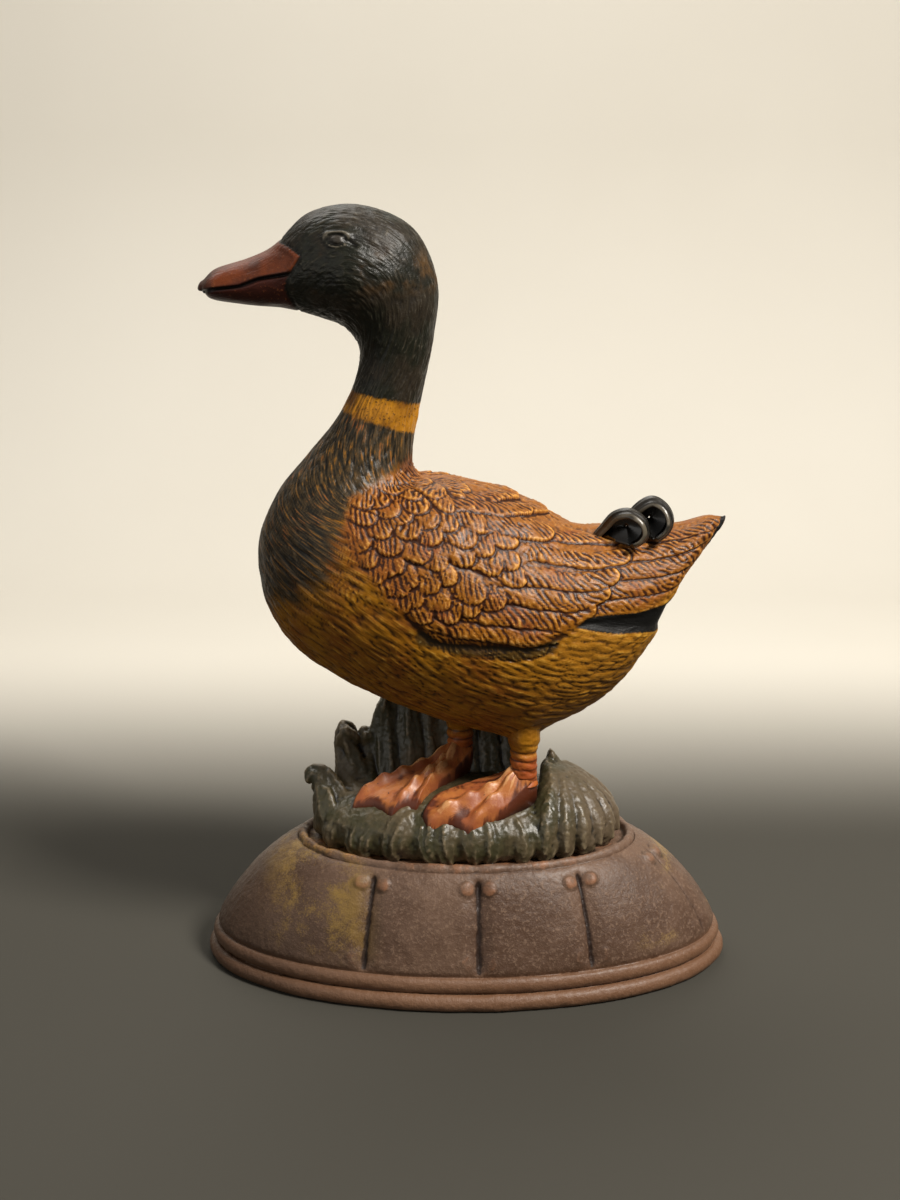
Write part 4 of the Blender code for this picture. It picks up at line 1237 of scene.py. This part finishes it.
def tail_curl(name, path, seed):
    """A rolled feather: a strip with thick rims, from its tang to its curled tip, closed on the far side."""
    spine = spline(path, np.linspace(0, len(path) - 1, CURL_ROWS))
    run = np.gradient(spine, axis=0)
    run[:, 1] = 0
    run /= np.linalg.norm(run, axis=1, keepdims=True)
    outward = np.stack((-run[:, 2], np.zeros(CURL_ROWS), run[:, 0]), axis=-1)
    share = np.linspace(0, 1, CURL_ROWS)
    swell = 0.50 + 0.50 * np.sin(math.pi * np.clip(share * 0.94 + 0.03, 0, 1)) ** 0.55
    ends = np.sqrt(np.clip(np.minimum(share, 1 - share) * 26, 0, 1))
    turn = np.linspace(0, 2 * math.pi, CURL_AROUND, endpoint=False)
    across = np.cos(turn)[None, :] * CURL_WIDTH / 2 * (swell * (0.35 + 0.65 * ends))[:, None]
    rimmed = 1 + 0.45 * np.abs(np.cos(turn)) ** 6
    out = np.sin(turn)[None, :] * CURL_THICKNESS / 2 * (swell * ends)[:, None] * rimmed[None, :]
    cup = -CURL_CUP * (np.cos(turn)[None, :] ** 2) * swell[:, None]
    line = CURL_LINE * np.cos(np.cos(turn)[None, :] * 14) * np.sin(turn)[None, :]
    line = line + CURL_LINE * noise(share[:, None] * 9, np.cos(turn)[None, :] * 5, 0.5, seed)
    points = spine[:, None] + outward[:, None] * (out + cup + line)[..., None]
    points[..., 1] += across
    # The rim value that sets where the painted rim highlight goes
    relief = np.clip(np.abs(np.cos(turn))[None, :] ** 4 - 0.4 + 4000 * line, -1, 1)
    back = curl_back(spine, CURL_WIDTH / 2 * swell)
    faces = grid_faces(points) + grid_faces(back, first=CURL_ROWS * CURL_AROUND)
    both = np.concatenate((points.reshape(-1, 3), back.reshape(-1, 3)))
    fields = {"relief": np.concatenate((relief.ravel(), np.full(back.shape[0] * back.shape[1], -1.0)))}
    return make_mesh(name, both, faces, fields)


def curl_back(spine, half_width):
    """The plate that closes a roll on its far side, from the strip in to the roll's middle."""
    gap = np.linspace(0, 1, 16)[1:, None]
    ring = np.vstack((spine, spine[-1] + (spine[0] - spine[-1]) * gap))
    wide = np.concatenate((half_width, half_width[-1] + (half_width[0] - half_width[-1]) * gap[:, 0]))
    centre = spine.mean(axis=0)
    near = []
    far = []
    for share in np.linspace(0.0, 0.96, 8):
        place = ring + (centre - ring) * share
        sink = 0.0012 * math.sin(share * math.pi / 2)
        near.append(place + np.outer(wide * 0.25 + sink, (0, 1, 0)))
        far.append(place + np.outer(wide * 0.85, (0, 1, 0)))
    return np.stack(near + far[::-1], axis=1)


# Materials

def colour(red, green, blue):
    """A linear colour from sRGB levels of 0 to 255."""
    levels = []
    for level in (red, green, blue):
        share = level / 255
        levels.append(share / 12.92 if share <= 0.04045 else ((share + 0.055) / 1.055) ** 2.4)
    return (*levels, 1.0)


class Finish:
    """A material's node tree, built up one value at a time."""

    def __init__(self, name, specular=0.5, coat=0.0):
        self.material = bpy.data.materials.new(name)
        self.material.use_nodes = True
        self.tree = self.material.node_tree
        self.shader = self.tree.nodes["Principled BSDF"]
        self.shader.inputs["Specular IOR Level"].default_value = specular
        self.shader.inputs["Coat Weight"].default_value = coat
        self.shader.inputs["Coat Roughness"].default_value = 0.25
        self.place = self.node("ShaderNodeTexCoord").outputs["Object"]
        axes = self.node("ShaderNodeSeparateXYZ")
        self.join(axes.inputs[0], self.place)
        self.x, self.y, self.z = axes.outputs

    def node(self, kind, **settings):
        """A new node with these settings."""
        made = self.tree.nodes.new(kind)
        for label, value in settings.items():
            setattr(made, label, value)
        return made

    def join(self, socket, value):
        """Sets an input, by a link from another node's output or as a plain value."""
        if isinstance(value, bpy.types.NodeSocket):
            self.tree.links.new(value, socket)
        else:
            socket.default_value = value

    def field(self, label, vector=False):
        """A value that the mesh carries for each vertex."""
        found = self.node("ShaderNodeAttribute", attribute_name=label)
        return found.outputs["Vector" if vector else "Fac"]

    def stretched(self, vector, scale):
        """A place with each of its axes scaled."""
        made = self.node("ShaderNodeMapping")
        self.join(made.inputs["Vector"], vector)
        made.inputs["Scale"].default_value = scale
        return made.outputs["Vector"]

    def noise(self, scale, detail=3.0, roughness=0.55, vector=None):
        """Noise from 0 to 1, over the piece's own place unless another is given."""
        made = self.node("ShaderNodeTexNoise")
        self.join(made.inputs["Vector"], self.place if vector is None else vector)
        made.inputs["Scale"].default_value = scale
        made.inputs["Detail"].default_value = detail
        made.inputs["Roughness"].default_value = roughness
        return made.outputs["Fac"]

    def sum(self, one, other, factor=1.0):
        """one + other * factor"""
        made = self.node("ShaderNodeMath", operation="MULTIPLY_ADD")
        self.join(made.inputs[0], other)
        made.inputs[1].default_value = factor
        self.join(made.inputs[2], one)
        return made.outputs[0]

    def times(self, one, other):
        """one * other"""
        made = self.node("ShaderNodeMath", operation="MULTIPLY")
        self.join(made.inputs[0], one)
        self.join(made.inputs[1], other)
        return made.outputs[0]

    def step(self, value, low, high, bottom=0.0, top=1.0):
        """bottom up to low, top from high on, and smooth between"""
        made = self.node("ShaderNodeMapRange", interpolation_type="SMOOTHSTEP")
        self.join(made.inputs["Value"], value)
        made.inputs["From Min"].default_value = low
        made.inputs["From Max"].default_value = high
        made.inputs["To Min"].default_value = bottom
        made.inputs["To Max"].default_value = top
        return made.outputs["Result"]

    def mix(self, share, one, other):
        """one where the share is 0, other where it is 1"""
        made = self.node("ShaderNodeMix", data_type="RGBA")
        self.join(made.inputs["Factor"], share)
        self.join(made.inputs[6], one)
        self.join(made.inputs[7], other)
        return made.outputs[2]

    def layers(self, ground, *laid):
        """A ground colour with others laid over it in turn, each as (share, colour)."""
        result = ground
        for share, over in laid:
            result = self.mix(share, result, over)
        return result

    def finish(self, base, roughness, height, bump, distance):
        """Joins up the shader, with the height as a bump of this strength and depth."""
        self.join(self.shader.inputs["Base Color"], base)
        self.join(self.shader.inputs["Roughness"], roughness)
        made = self.node("ShaderNodeBump")
        made.inputs["Strength"].default_value = bump
        made.inputs["Distance"].default_value = distance
        self.join(made.inputs["Height"], height)
        self.join(self.shader.inputs["Normal"], made.outputs["Normal"])
        return self.material


# Paints, as they look where they are thick, worn or dirty, with the light colours laid on ridges as painted
# highlights and the dark colours laid in recesses as painted shade
BELLY_OCHRE = colour(146, 96, 12)
BELLY_BROWN = colour(124, 70, 10)
BELLY_REAR = colour(154, 102, 22)
BELLY_STREAK = colour(166, 114, 30)
# Painted highlight for the belly's raised strokes and painted shade for its grooves
BELLY_PAINTED_HIGHLIGHT = colour(206, 154, 60)
BELLY_PAINTED_SHADE = colour(40, 20, 4)
BREAST_BLACK = colour(26, 24, 17)
BREAST_BROWN = colour(76, 60, 36)
# Painted shade for the breast's grooves
BREAST_PAINTED_SHADE = colour(10, 8, 6)
# Worn-through ochre, also laid on raised strands as painted highlight
BREAST_WORN_OCHRE_AND_HIGHLIGHT = (colour(136, 92, 32), colour(140, 82, 38))
WING_GOLD = colour(142, 86, 14)
WING_ORANGE = colour(140, 85, 28)
WING_RUST = colour(132, 70, 26)
WING_FRONT = colour(134, 74, 16)
# Painted highlight for the wing's feather ridges
WING_PAINTED_HIGHLIGHT = colour(196, 138, 62)
WING_SPECK = colour(204, 150, 86)
WING_TOP = colour(96, 58, 36)
# Painted shade for barb grooves and under feather edges
WING_PAINTED_SHADE = colour(52, 22, 4)
FRINGE_GREEN = colour(44, 38, 18)
# Painted highlight and painted shade for the fringe's ridges and grooves
FRINGE_PAINTED_HIGHLIGHT = colour(128, 116, 78)
FRINGE_PAINTED_SHADE = colour(26, 20, 8)
RING_OCHRE = colour(172, 116, 24)
RING_BROWN = colour(104, 62, 12)
RING_DIRT = colour(70, 44, 14)
HEAD_GREEN = colour(25, 26, 17)
HEAD_BROWN = colour(38, 31, 20)
HEAD_STREAK = colour(56, 50, 38)
HEAD_CHEEK = colour(76, 54, 26)
# Painted glint for the head's raised strokes and painted shade for its grooves
HEAD_PAINTED_GLINT = colour(112, 104, 90)
HEAD_PAINTED_SHADE = colour(8, 6, 4)
BILL_RED = colour(98, 45, 18)
BILL_BROWN = colour(62, 28, 13)
BILL_UNDER = colour(60, 22, 12)
BILL_SPECK = colour(124, 70, 36)
BILL_TIP = colour(58, 34, 24)
BILL_MOUTH = colour(14, 6, 4)
# Painted shade for the bill's hollows
BILL_PAINTED_SHADE = colour(24, 9, 6)
TAIL_BLACK = colour(3, 2, 1)
EYE_GREY = colour(46, 42, 38)
LEG_ORANGE = colour(176, 98, 40)
LEG_BROWN = colour(146, 70, 28)
# Painted shade for the leg's creases
LEG_PAINTED_SHADE = colour(66, 26, 8)
FOOT_ORANGE = colour(172, 104, 52)
FOOT_BROWN = colour(146, 78, 40)
# Painted highlight for the toe ridges and painted shade for the webs and edge
FOOT_PAINTED_HIGHLIGHT = colour(198, 142, 90)
FOOT_PAINTED_SHADE = colour(84, 38, 18)
FOOT_CHIP = colour(60, 28, 14)
GRASS_GREEN = colour(54, 51, 30)
GRASS_OLIVE = colour(82, 70, 48)
GRASS_REAR = colour(90, 76, 58)
# Painted highlight for the blades' ribs and painted shade for the furrows
GRASS_PAINTED_HIGHLIGHT = colour(116, 102, 78)
GRASS_PAINTED_SHADE = colour(16, 14, 8)
BASE_BROWN = colour(106, 82, 66)
BASE_DARK = colour(80, 58, 44)
BASE_GRAIN = colour(132, 106, 86)
BASE_PLINTH = colour(122, 86, 60)
BASE_SHADED = colour(58, 40, 26)
BASE_OCHRE = (colour(132, 104, 50), colour(134, 108, 66))
# Coppery patches on the collar bead, which also stand for its painted highlights
BASE_BEAD_COPPER_AND_HIGHLIGHT = colour(160, 104, 66)
# Painted highlight for raised places such as the rivets, and painted shade for hollows, also used for the
# dark joint lines
BASE_PAINTED_HIGHLIGHT = colour(150, 102, 70)
BASE_PAINTED_SHADE_AND_JOINTS = colour(34, 20, 14)
CURL_BLACK = colour(20, 18, 15)
CURL_BROWN = colour(34, 30, 24)
# Painted highlight for the curls' rims
CURL_PAINTED_RIM_HIGHLIGHT = colour(92, 84, 70)
STEEL = colour(122, 116, 108)
RUST = colour(92, 56, 34)
WALL_WHITE = (colour(214, 209, 198), colour(222, 218, 208))
SHELF_BLACK = colour(66, 64, 58)


def duck_paint():
    """Old enamel on iron: black head, red-brown bill, ochre ring and belly, streaked breast, orange wing."""
    paint = Finish("aged_duck_enamel", 0.32, 0.0)
    flow = paint.field("flow", vector=True)
    streak = paint.noise(1.0, 3.0, 0.6, paint.stretched(flow, (95, 900, 1)))
    broad = paint.noise(1.0, 2.0, 0.5, paint.stretched(flow, (38, 260, 1)))
    blotch = paint.noise(75, 4.0, 0.6)
    speck = paint.noise(900, 3.0, 0.6)
    relief = paint.field("relief")
    # Painted shade where the relief is sunk or under a feather edge, and painted highlights and glints where
    # it stands up
    deep = paint.step(relief, 0.10, -0.62)
    high = paint.step(paint.sum(relief, speck, 0.5), 0.40, 1.05)
    breast = paint.sum(paint.sum(paint.field("breast"), broad, 20.0), streak, 16.0)
    orange = paint.sum(paint.sum(paint.field("orange"), speck, 1.6), broad, 5.0)
    fringe = paint.step(paint.sum(paint.field("fringe"), broad, 2.0), 0.4, 2.4)
    fringe = paint.times(fringe, paint.step(paint.field("orange"), 0.4, -0.6))
    ring = paint.sum(paint.sum(paint.field("ring"), speck, 2.0), streak, 2.4)
    head = paint.sum(paint.sum(paint.field("head"), speck, 2.0), streak, 2.0)
    bill = paint.sum(paint.field("bill"), speck, 1.4)
    black = paint.step(paint.sum(paint.field("black"), speck, 1.5), 0.4, 1.2)
    result = paint.layers(
        belly_colour(paint, streak, blotch, deep, high),
        (paint.step(breast, 13.0, 21.0), breast_colour(paint, streak, blotch, deep, high)),
        (paint.step(orange, 1.2, 4.6), wing_colour(paint, blotch, speck, deep, high)),
        # The fringe's dark green, with painted highlights on its ridges and painted shade in its grooves
        (paint.times(fringe, 0.8), paint.layers(FRINGE_GREEN, (high, FRINGE_PAINTED_HIGHLIGHT), (deep, FRINGE_PAINTED_SHADE))),
        (paint.step(ring, 0.9, 2.4), ring_colour(paint, blotch, speck)),
        (paint.step(head, 1.0, 2.4), head_colour(paint, streak, blotch, deep, high)),
        (paint.step(bill, 0.4, 1.2), bill_colour(paint, blotch, speck, deep)),
        (black, TAIL_BLACK),
        (paint.times(paint.field("eye"), 0.85), EYE_GREY),
        (paint.field("leg"), leg_colour(paint, blotch, deep)),
    )
    roughness = paint.sum(paint.step(blotch, 0.30, 0.75, 0.32, 0.48), speck, 0.08)
    roughness = paint.sum(roughness, black, 0.15)
    return paint.finish(result, roughness, paint.sum(streak, speck, 0.8), 0.60, 0.0004)


def belly_colour(paint, streak, blotch, deep, high):
    """Ochre and brown, brighter towards the rear, with painted highlights on raised strokes and painted shade
    in the grooves.
    """
    rear = paint.step(paint.sum(paint.x, blotch, 0.02), 0.020, 0.055)
    return paint.layers(
        BELLY_OCHRE,
        (paint.step(blotch, 0.35, 0.65), BELLY_BROWN),
        (rear, BELLY_REAR),
        (paint.step(streak, 0.50, 0.72), BELLY_STREAK),
        (paint.times(high, 0.80), BELLY_PAINTED_HIGHLIGHT),
        (paint.times(deep, 0.9), BELLY_PAINTED_SHADE),
    )


def breast_colour(paint, streak, blotch, deep, high):
    """Near-black strokes with painted shade in their grooves, and the ochre below worn through between them,
    showing more on raised strands as painted highlight.
    """
    worn = paint.mix(paint.step(blotch, 0.45, 0.60), *BREAST_WORN_OCHRE_AND_HIGHLIGHT)
    return paint.layers(
        BREAST_BLACK,
        (paint.step(streak, 0.38, 0.60), BREAST_BROWN),
        (paint.times(deep, 0.8), BREAST_PAINTED_SHADE),
        # Worn ochre between the strokes, pushed onto the raised strands as painted highlight
        (paint.step(paint.sum(streak, high, 0.10), 0.56, 0.68), worn),
    )


def wing_colour(paint, blotch, speck, deep, high):
    """Gold low on the wing and orange above, with a dark strip along the back, painted highlights on the
    feather ridges and painted shade in the barb grooves and under feather edges.
    """
    height = paint.sum(paint.z, paint.x, 0.15)
    upper = paint.step(paint.sum(height, blotch, 0.02), 0.158, 0.200)
    top = paint.step(paint.sum(height, blotch, 0.010), 0.1985, 0.2025)
    front = paint.times(paint.step(paint.x, -0.010, -0.034), paint.step(blotch, 0.35, 0.60))
    return paint.layers(
        WING_GOLD,
        (upper, WING_ORANGE),
        (paint.step(blotch, 0.50, 0.72), WING_RUST),
        (front, WING_FRONT),
        (high, WING_PAINTED_HIGHLIGHT),
        (paint.times(paint.step(speck, 0.56, 0.70), 0.4), WING_SPECK),
        (paint.times(top, 0.75), WING_TOP),
        (deep, WING_PAINTED_SHADE),
    )


def ring_colour(paint, blotch, speck):
    """The ochre neck ring, worn brown and flecked with dirt."""
    worn = paint.step(blotch, 0.40, 0.66)
    return paint.layers(RING_OCHRE, (worn, RING_BROWN), (paint.step(speck, 0.56, 0.70), RING_DIRT))


def head_colour(paint, streak, blotch, deep, high):
    """Near-black green with a brown patch on the cheek, painted glints on the raised strokes and painted
    shade in the grooves.
    """
    cheek = paint.times(paint.step(paint.z, 0.262, 0.270), paint.step(paint.z, 0.282, 0.274))
    return paint.layers(
        HEAD_GREEN,
        (paint.step(blotch, 0.38, 0.62), HEAD_BROWN),
        (paint.step(streak, 0.52, 0.78), HEAD_STREAK),
        (paint.times(cheek, paint.step(blotch, 0.48, 0.64)), HEAD_CHEEK),
        (paint.times(high, 0.6), HEAD_PAINTED_GLINT),
        (paint.times(deep, 0.8), HEAD_PAINTED_SHADE),
    )


def bill_colour(paint, blotch, speck, deep):
    """Red-brown, darker below the mouth and at the tip, with painted shade in its hollows."""
    under = paint.step(paint.sum(paint.z, paint.x, -0.22), 0.2870, 0.2850)
    tip = paint.step(paint.sum(paint.x, blotch, 0.006), -0.0895, -0.0945)
    return paint.layers(
        BILL_RED,
        (paint.step(blotch, 0.40, 0.65), BILL_BROWN),
        (under, BILL_UNDER),
        (paint.step(speck, 0.58, 0.75), BILL_SPECK),
        (paint.times(tip, 0.7), BILL_TIP),
        (paint.step(paint.field("mouth"), 1.3, 0.3), BILL_MOUTH),
        (paint.times(deep, 0.7), BILL_PAINTED_SHADE),
    )


def leg_colour(paint, blotch, deep):
    # Orange with brown patches, and painted shade in the creases between the rings
    return paint.layers(LEG_ORANGE, (paint.step(blotch, 0.35, 0.65), LEG_BROWN), (deep, LEG_PAINTED_SHADE))


def foot_paint():
    """Worn orange enamel with dark chips, painted highlights on the ridges and painted shade in the webs and
    round the edge.
    """
    paint = Finish("worn_orange_enamel", 0.45, 0.06)
    relief = paint.field("relief")
    blotch = paint.noise(130, 4.0, 0.6)
    speck = paint.noise(700, 3.0, 0.6)
    result = paint.layers(
        FOOT_ORANGE,
        (paint.step(blotch, 0.35, 0.62), FOOT_BROWN),
        (paint.step(paint.sum(relief, speck, 0.8), 0.75, 1.25), FOOT_PAINTED_HIGHLIGHT),
        (paint.step(paint.sum(relief, blotch, 0.6), 0.05, -0.55), FOOT_PAINTED_SHADE),
        (paint.step(speck, 0.66, 0.74), FOOT_CHIP),
    )
    return paint.finish(result, paint.step(blotch, 0.3, 0.7, 0.38, 0.55), speck, 0.4, 0.0003)


def grass_paint():
    """Dark green enamel, browner towards the tail, with painted highlights on the ridges and painted shade in
    the furrows.
    """
    paint = Finish("dark_green_enamel", 0.50, 0.05)
    relief = paint.field("relief")
    blotch = paint.noise(55, 4.0, 0.6)
    speck = paint.noise(600, 4.0, 0.65)
    result = paint.layers(
        GRASS_GREEN,
        (paint.step(blotch, 0.40, 0.62), GRASS_OLIVE),
        (paint.step(paint.sum(paint.x, blotch, 0.03), 0.040, 0.075), GRASS_REAR),
        (paint.step(paint.sum(relief, speck, 0.7), 0.50, 1.15), GRASS_PAINTED_HIGHLIGHT),
        (paint.step(relief, -0.05, -0.70), GRASS_PAINTED_SHADE),
    )
    return paint.finish(result, paint.step(blotch, 0.3, 0.7, 0.34, 0.52), speck, 0.5, 0.0004)


def base_paint():
    """Grainy purple-brown enamel with ochre patches, coppery patches on the collar bead that also stand for
    its painted highlights, painted highlights on raised places, painted shade in hollows, and dark joints.
    """
    paint = Finish("brown_base_enamel", 0.40, 0.05)
    relief = paint.field("relief")
    blotch = paint.noise(26, 5.0, 0.62)
    patch = paint.noise(42, 6.0, 0.72)
    speck = paint.noise(1600, 4.0, 0.7)
    pit = paint.noise(760, 3.0, 0.6)
    grainy = paint.sum(pit, speck, 0.6)
    patchy = paint.sum(patch, speck, 0.35)
    left = paint.times(paint.step(paint.x, -0.030, -0.050), paint.step(paint.x, -0.085, -0.065))
    left = paint.times(left, paint.step(paint.z, 0.013, 0.022))
    right = paint.times(paint.step(paint.x, 0.060, 0.078), paint.step(paint.z, 0.014, 0.022))
    # Coppery bead patches, pushed onto the bead's raised parts as painted highlight
    bead = paint.times(paint.field("collar"), paint.step(paint.sum(patch, relief, 0.3), 0.44, 0.80))
    result = paint.layers(
        BASE_BROWN,
        (paint.step(blotch, 0.36, 0.62), BASE_DARK),
        (paint.times(paint.step(grainy, 0.80, 1.02), 0.55), BASE_GRAIN),
        (paint.times(paint.step(paint.z, 0.0160, 0.0110), 0.6), BASE_PLINTH),
        (paint.times(paint.step(paint.x, -0.020, -0.085), 0.55), BASE_SHADED),
        (paint.times(left, paint.step(patchy, 0.60, 0.80)), BASE_OCHRE[0]),
        (paint.times(right, paint.step(patchy, 0.70, 0.86)), BASE_OCHRE[1]),
        (bead, BASE_BEAD_COPPER_AND_HIGHLIGHT),
        # Painted highlights on raised places such as the rivets and painted shade in the hollows; the joint
        # creases are darkened in the same colour as dark joint lines
        (paint.times(paint.step(relief, 0.30, 0.90), 0.65), BASE_PAINTED_HIGHLIGHT),
        (paint.times(paint.step(relief, -0.10, -0.75), 0.85), BASE_PAINTED_SHADE_AND_JOINTS),
        (paint.times(paint.field("joint"), 0.6), BASE_PAINTED_SHADE_AND_JOINTS),
    )
    return paint.finish(result, paint.step(pit, 0.3, 0.7, 0.38, 0.58), grainy, 0.55, 0.0005)


def curl_paint():
    """Glossy black enamel, with painted highlights on the rims."""
    paint = Finish("glossy_black_enamel", 0.5, 0.25)
    blotch = paint.noise(120, 4.0, 0.6)
    rim = paint.step(paint.sum(paint.field("relief"), blotch, 0.5), 0.55, 1.0)
    result = paint.layers(CURL_BLACK, (paint.step(blotch, 0.40, 0.65), CURL_BROWN), (rim, CURL_PAINTED_RIM_HIGHLIGHT))
    return paint.finish(result, paint.step(blotch, 0.3, 0.7, 0.22, 0.40), paint.noise(500), 0.25, 0.0003)


def screw_steel():
    """Bare steel, rusted in patches."""
    paint = Finish("old_screw_steel", 0.5)
    rust = paint.noise(260, 5.0, 0.65)
    result = paint.mix(paint.step(rust, 0.46, 0.62), STEEL, RUST)
    paint.join(paint.shader.inputs["Metallic"], paint.step(rust, 0.62, 0.46))
    return paint.finish(result, paint.step(rust, 0.4, 0.7, 0.32, 0.75), paint.noise(1400), 0.4, 0.0002)


# Stage

FLOOR_FRONT = -2.5
FLOOR_HALF_WIDTH = 3.0
SWEEP_START = 0.55
SWEEP_RADIUS = 0.35
WALL_TOP = 2.6
MIDDLE = (0.0, 0.0, 0.15)
CAMERA_PLACE = (-0.0066, -0.560, 0.297)
CAMERA_TILT = 15.0
WARM = (1.0, 0.95, 0.88)
SOFT = (1.0, 0.96, 0.90)
PALE = (1.0, 0.97, 0.92)
ROOM = (1.0, 0.97, 0.93, 1.0)


def stage():
    """A dark floor that curves up and pales into a backdrop."""
    rows = []
    for turn in np.linspace(0, math.pi / 2, 24):
        y = SWEEP_START + SWEEP_RADIUS * math.sin(turn)
        rows.append((y, SWEEP_RADIUS - SWEEP_RADIUS * math.cos(turn)))
    line = [(FLOOR_FRONT, 0.0)] + rows + [(SWEEP_START + SWEEP_RADIUS, WALL_TOP)]
    points = []
    for x in (-FLOOR_HALF_WIDTH, FLOOR_HALF_WIDTH):
        points += [(x, y, z) for y, z in line]
    count = len(line)
    faces = [(i, i + count, i + count + 1, i + 1) for i in range(count - 1)]
    floor = make_mesh("studio_floor", points, faces)
    paint = Finish("studio_sweep", 0.2)
    mottled = paint.mix(paint.noise(3.0), *WALL_WHITE)
    mottled = paint.mix(paint.step(paint.y, 0.42, 0.10), mottled, SHELF_BLACK)
    floor.data.materials.append(paint.finish(mottled, 0.8, paint.noise(40), 0.05, 0.001))


def area_light(name, place, size, power, tint):
    """A rectangular light turned to the middle of the door stop."""
    data = bpy.data.lights.new(name, "AREA")
    data.shape = "RECTANGLE"
    data.size, data.size_y = size
    data.energy = power
    data.color = tint
    item = bpy.data.objects.new(name, data)
    item.location = place
    item.rotation_euler = (Vector(MIDDLE) - Vector(place)).to_track_quat("-Z", "Y").to_euler()
    bpy.context.scene.collection.objects.link(item)


def lights():
    """A hard key from the right, a weak fill from the left, a light behind and a dim room."""
    area_light("key", (0.70, -0.55, 1.10), (0.30, 0.30), 27.0, WARM)
    area_light("fill", (-1.0, -0.9, 0.5), (1.2, 1.2), 3.4, SOFT)
    area_light("back", (-0.3, 0.55, 1.1), (1.0, 0.5), 6.0, PALE)
    world = bpy.data.worlds.new("soft_room")
    world.use_nodes = True
    background = world.node_tree.nodes["Background"]
    background.inputs["Color"].default_value = ROOM
    background.inputs["Strength"].default_value = 0.14
    bpy.context.scene.world = world


def camera():
    """The photograph's view: level with the drake's head and 15 degrees down."""
    data = bpy.data.cameras.new("camera")
    data.lens = 45.0
    data.sensor_width = 36.0
    item = bpy.data.objects.new("camera", data)
    item.location = CAMERA_PLACE
    item.rotation_euler = (math.radians(90.0 - CAMERA_TILT), 0.0, 0.0)
    bpy.context.scene.collection.objects.link(item)
    bpy.context.scene.camera = item


def place_piece(item, material, slot, *nodes):
    """Gives a piece its finish and sets it in the frame in place of its CAD nodes."""
    item.data.materials.append(material)
    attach(item, "root")
    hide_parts(*nodes)


def main():
    """Builds every piece in the frame, then the stage and its lights."""
    camera()
    duck = duck_paint()
    place_piece(drake_half("duck_left", -1, LEFT_LEG, 1), duck, "duck_paint", "duck_left_casting")
    place_piece(drake_half("duck_right", 1, RIGHT_LEG, 7), duck, "duck_paint", "duck_right_casting")
    place_piece(tussock("grass_tussock"), grass_paint(), "grass_paint", "ground_casting")
    feet = foot_paint()
    left = webbed_foot("left_webbed_foot", LEFT_FOOT, LEFT_TOES, LEFT_LEG, 5)
    right = webbed_foot("right_webbed_foot", RIGHT_FOOT, RIGHT_TOES, RIGHT_LEG, 6)
    place_piece(left, feet, "duck_paint", "ground_casting")
    place_piece(right, feet, "duck_paint", "ground_casting")
    place_piece(base_casting("base_shell"), base_paint(), "base_paint", "base_casting")
    curls = curl_paint()
    for number, (node, path) in enumerate(CURLS.items()):
        place_piece(tail_curl(f"{node}_roll", path, number), curls, "curl_paint", node)
    steel = screw_steel()
    for node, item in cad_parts.items():
        if "screw" in node or "bolt" in node:
            item.data.materials.clear()
            item.data.materials.append(steel)
    stage()
    lights()
    bpy.context.scene.view_settings.view_transform = "Standard"


main()
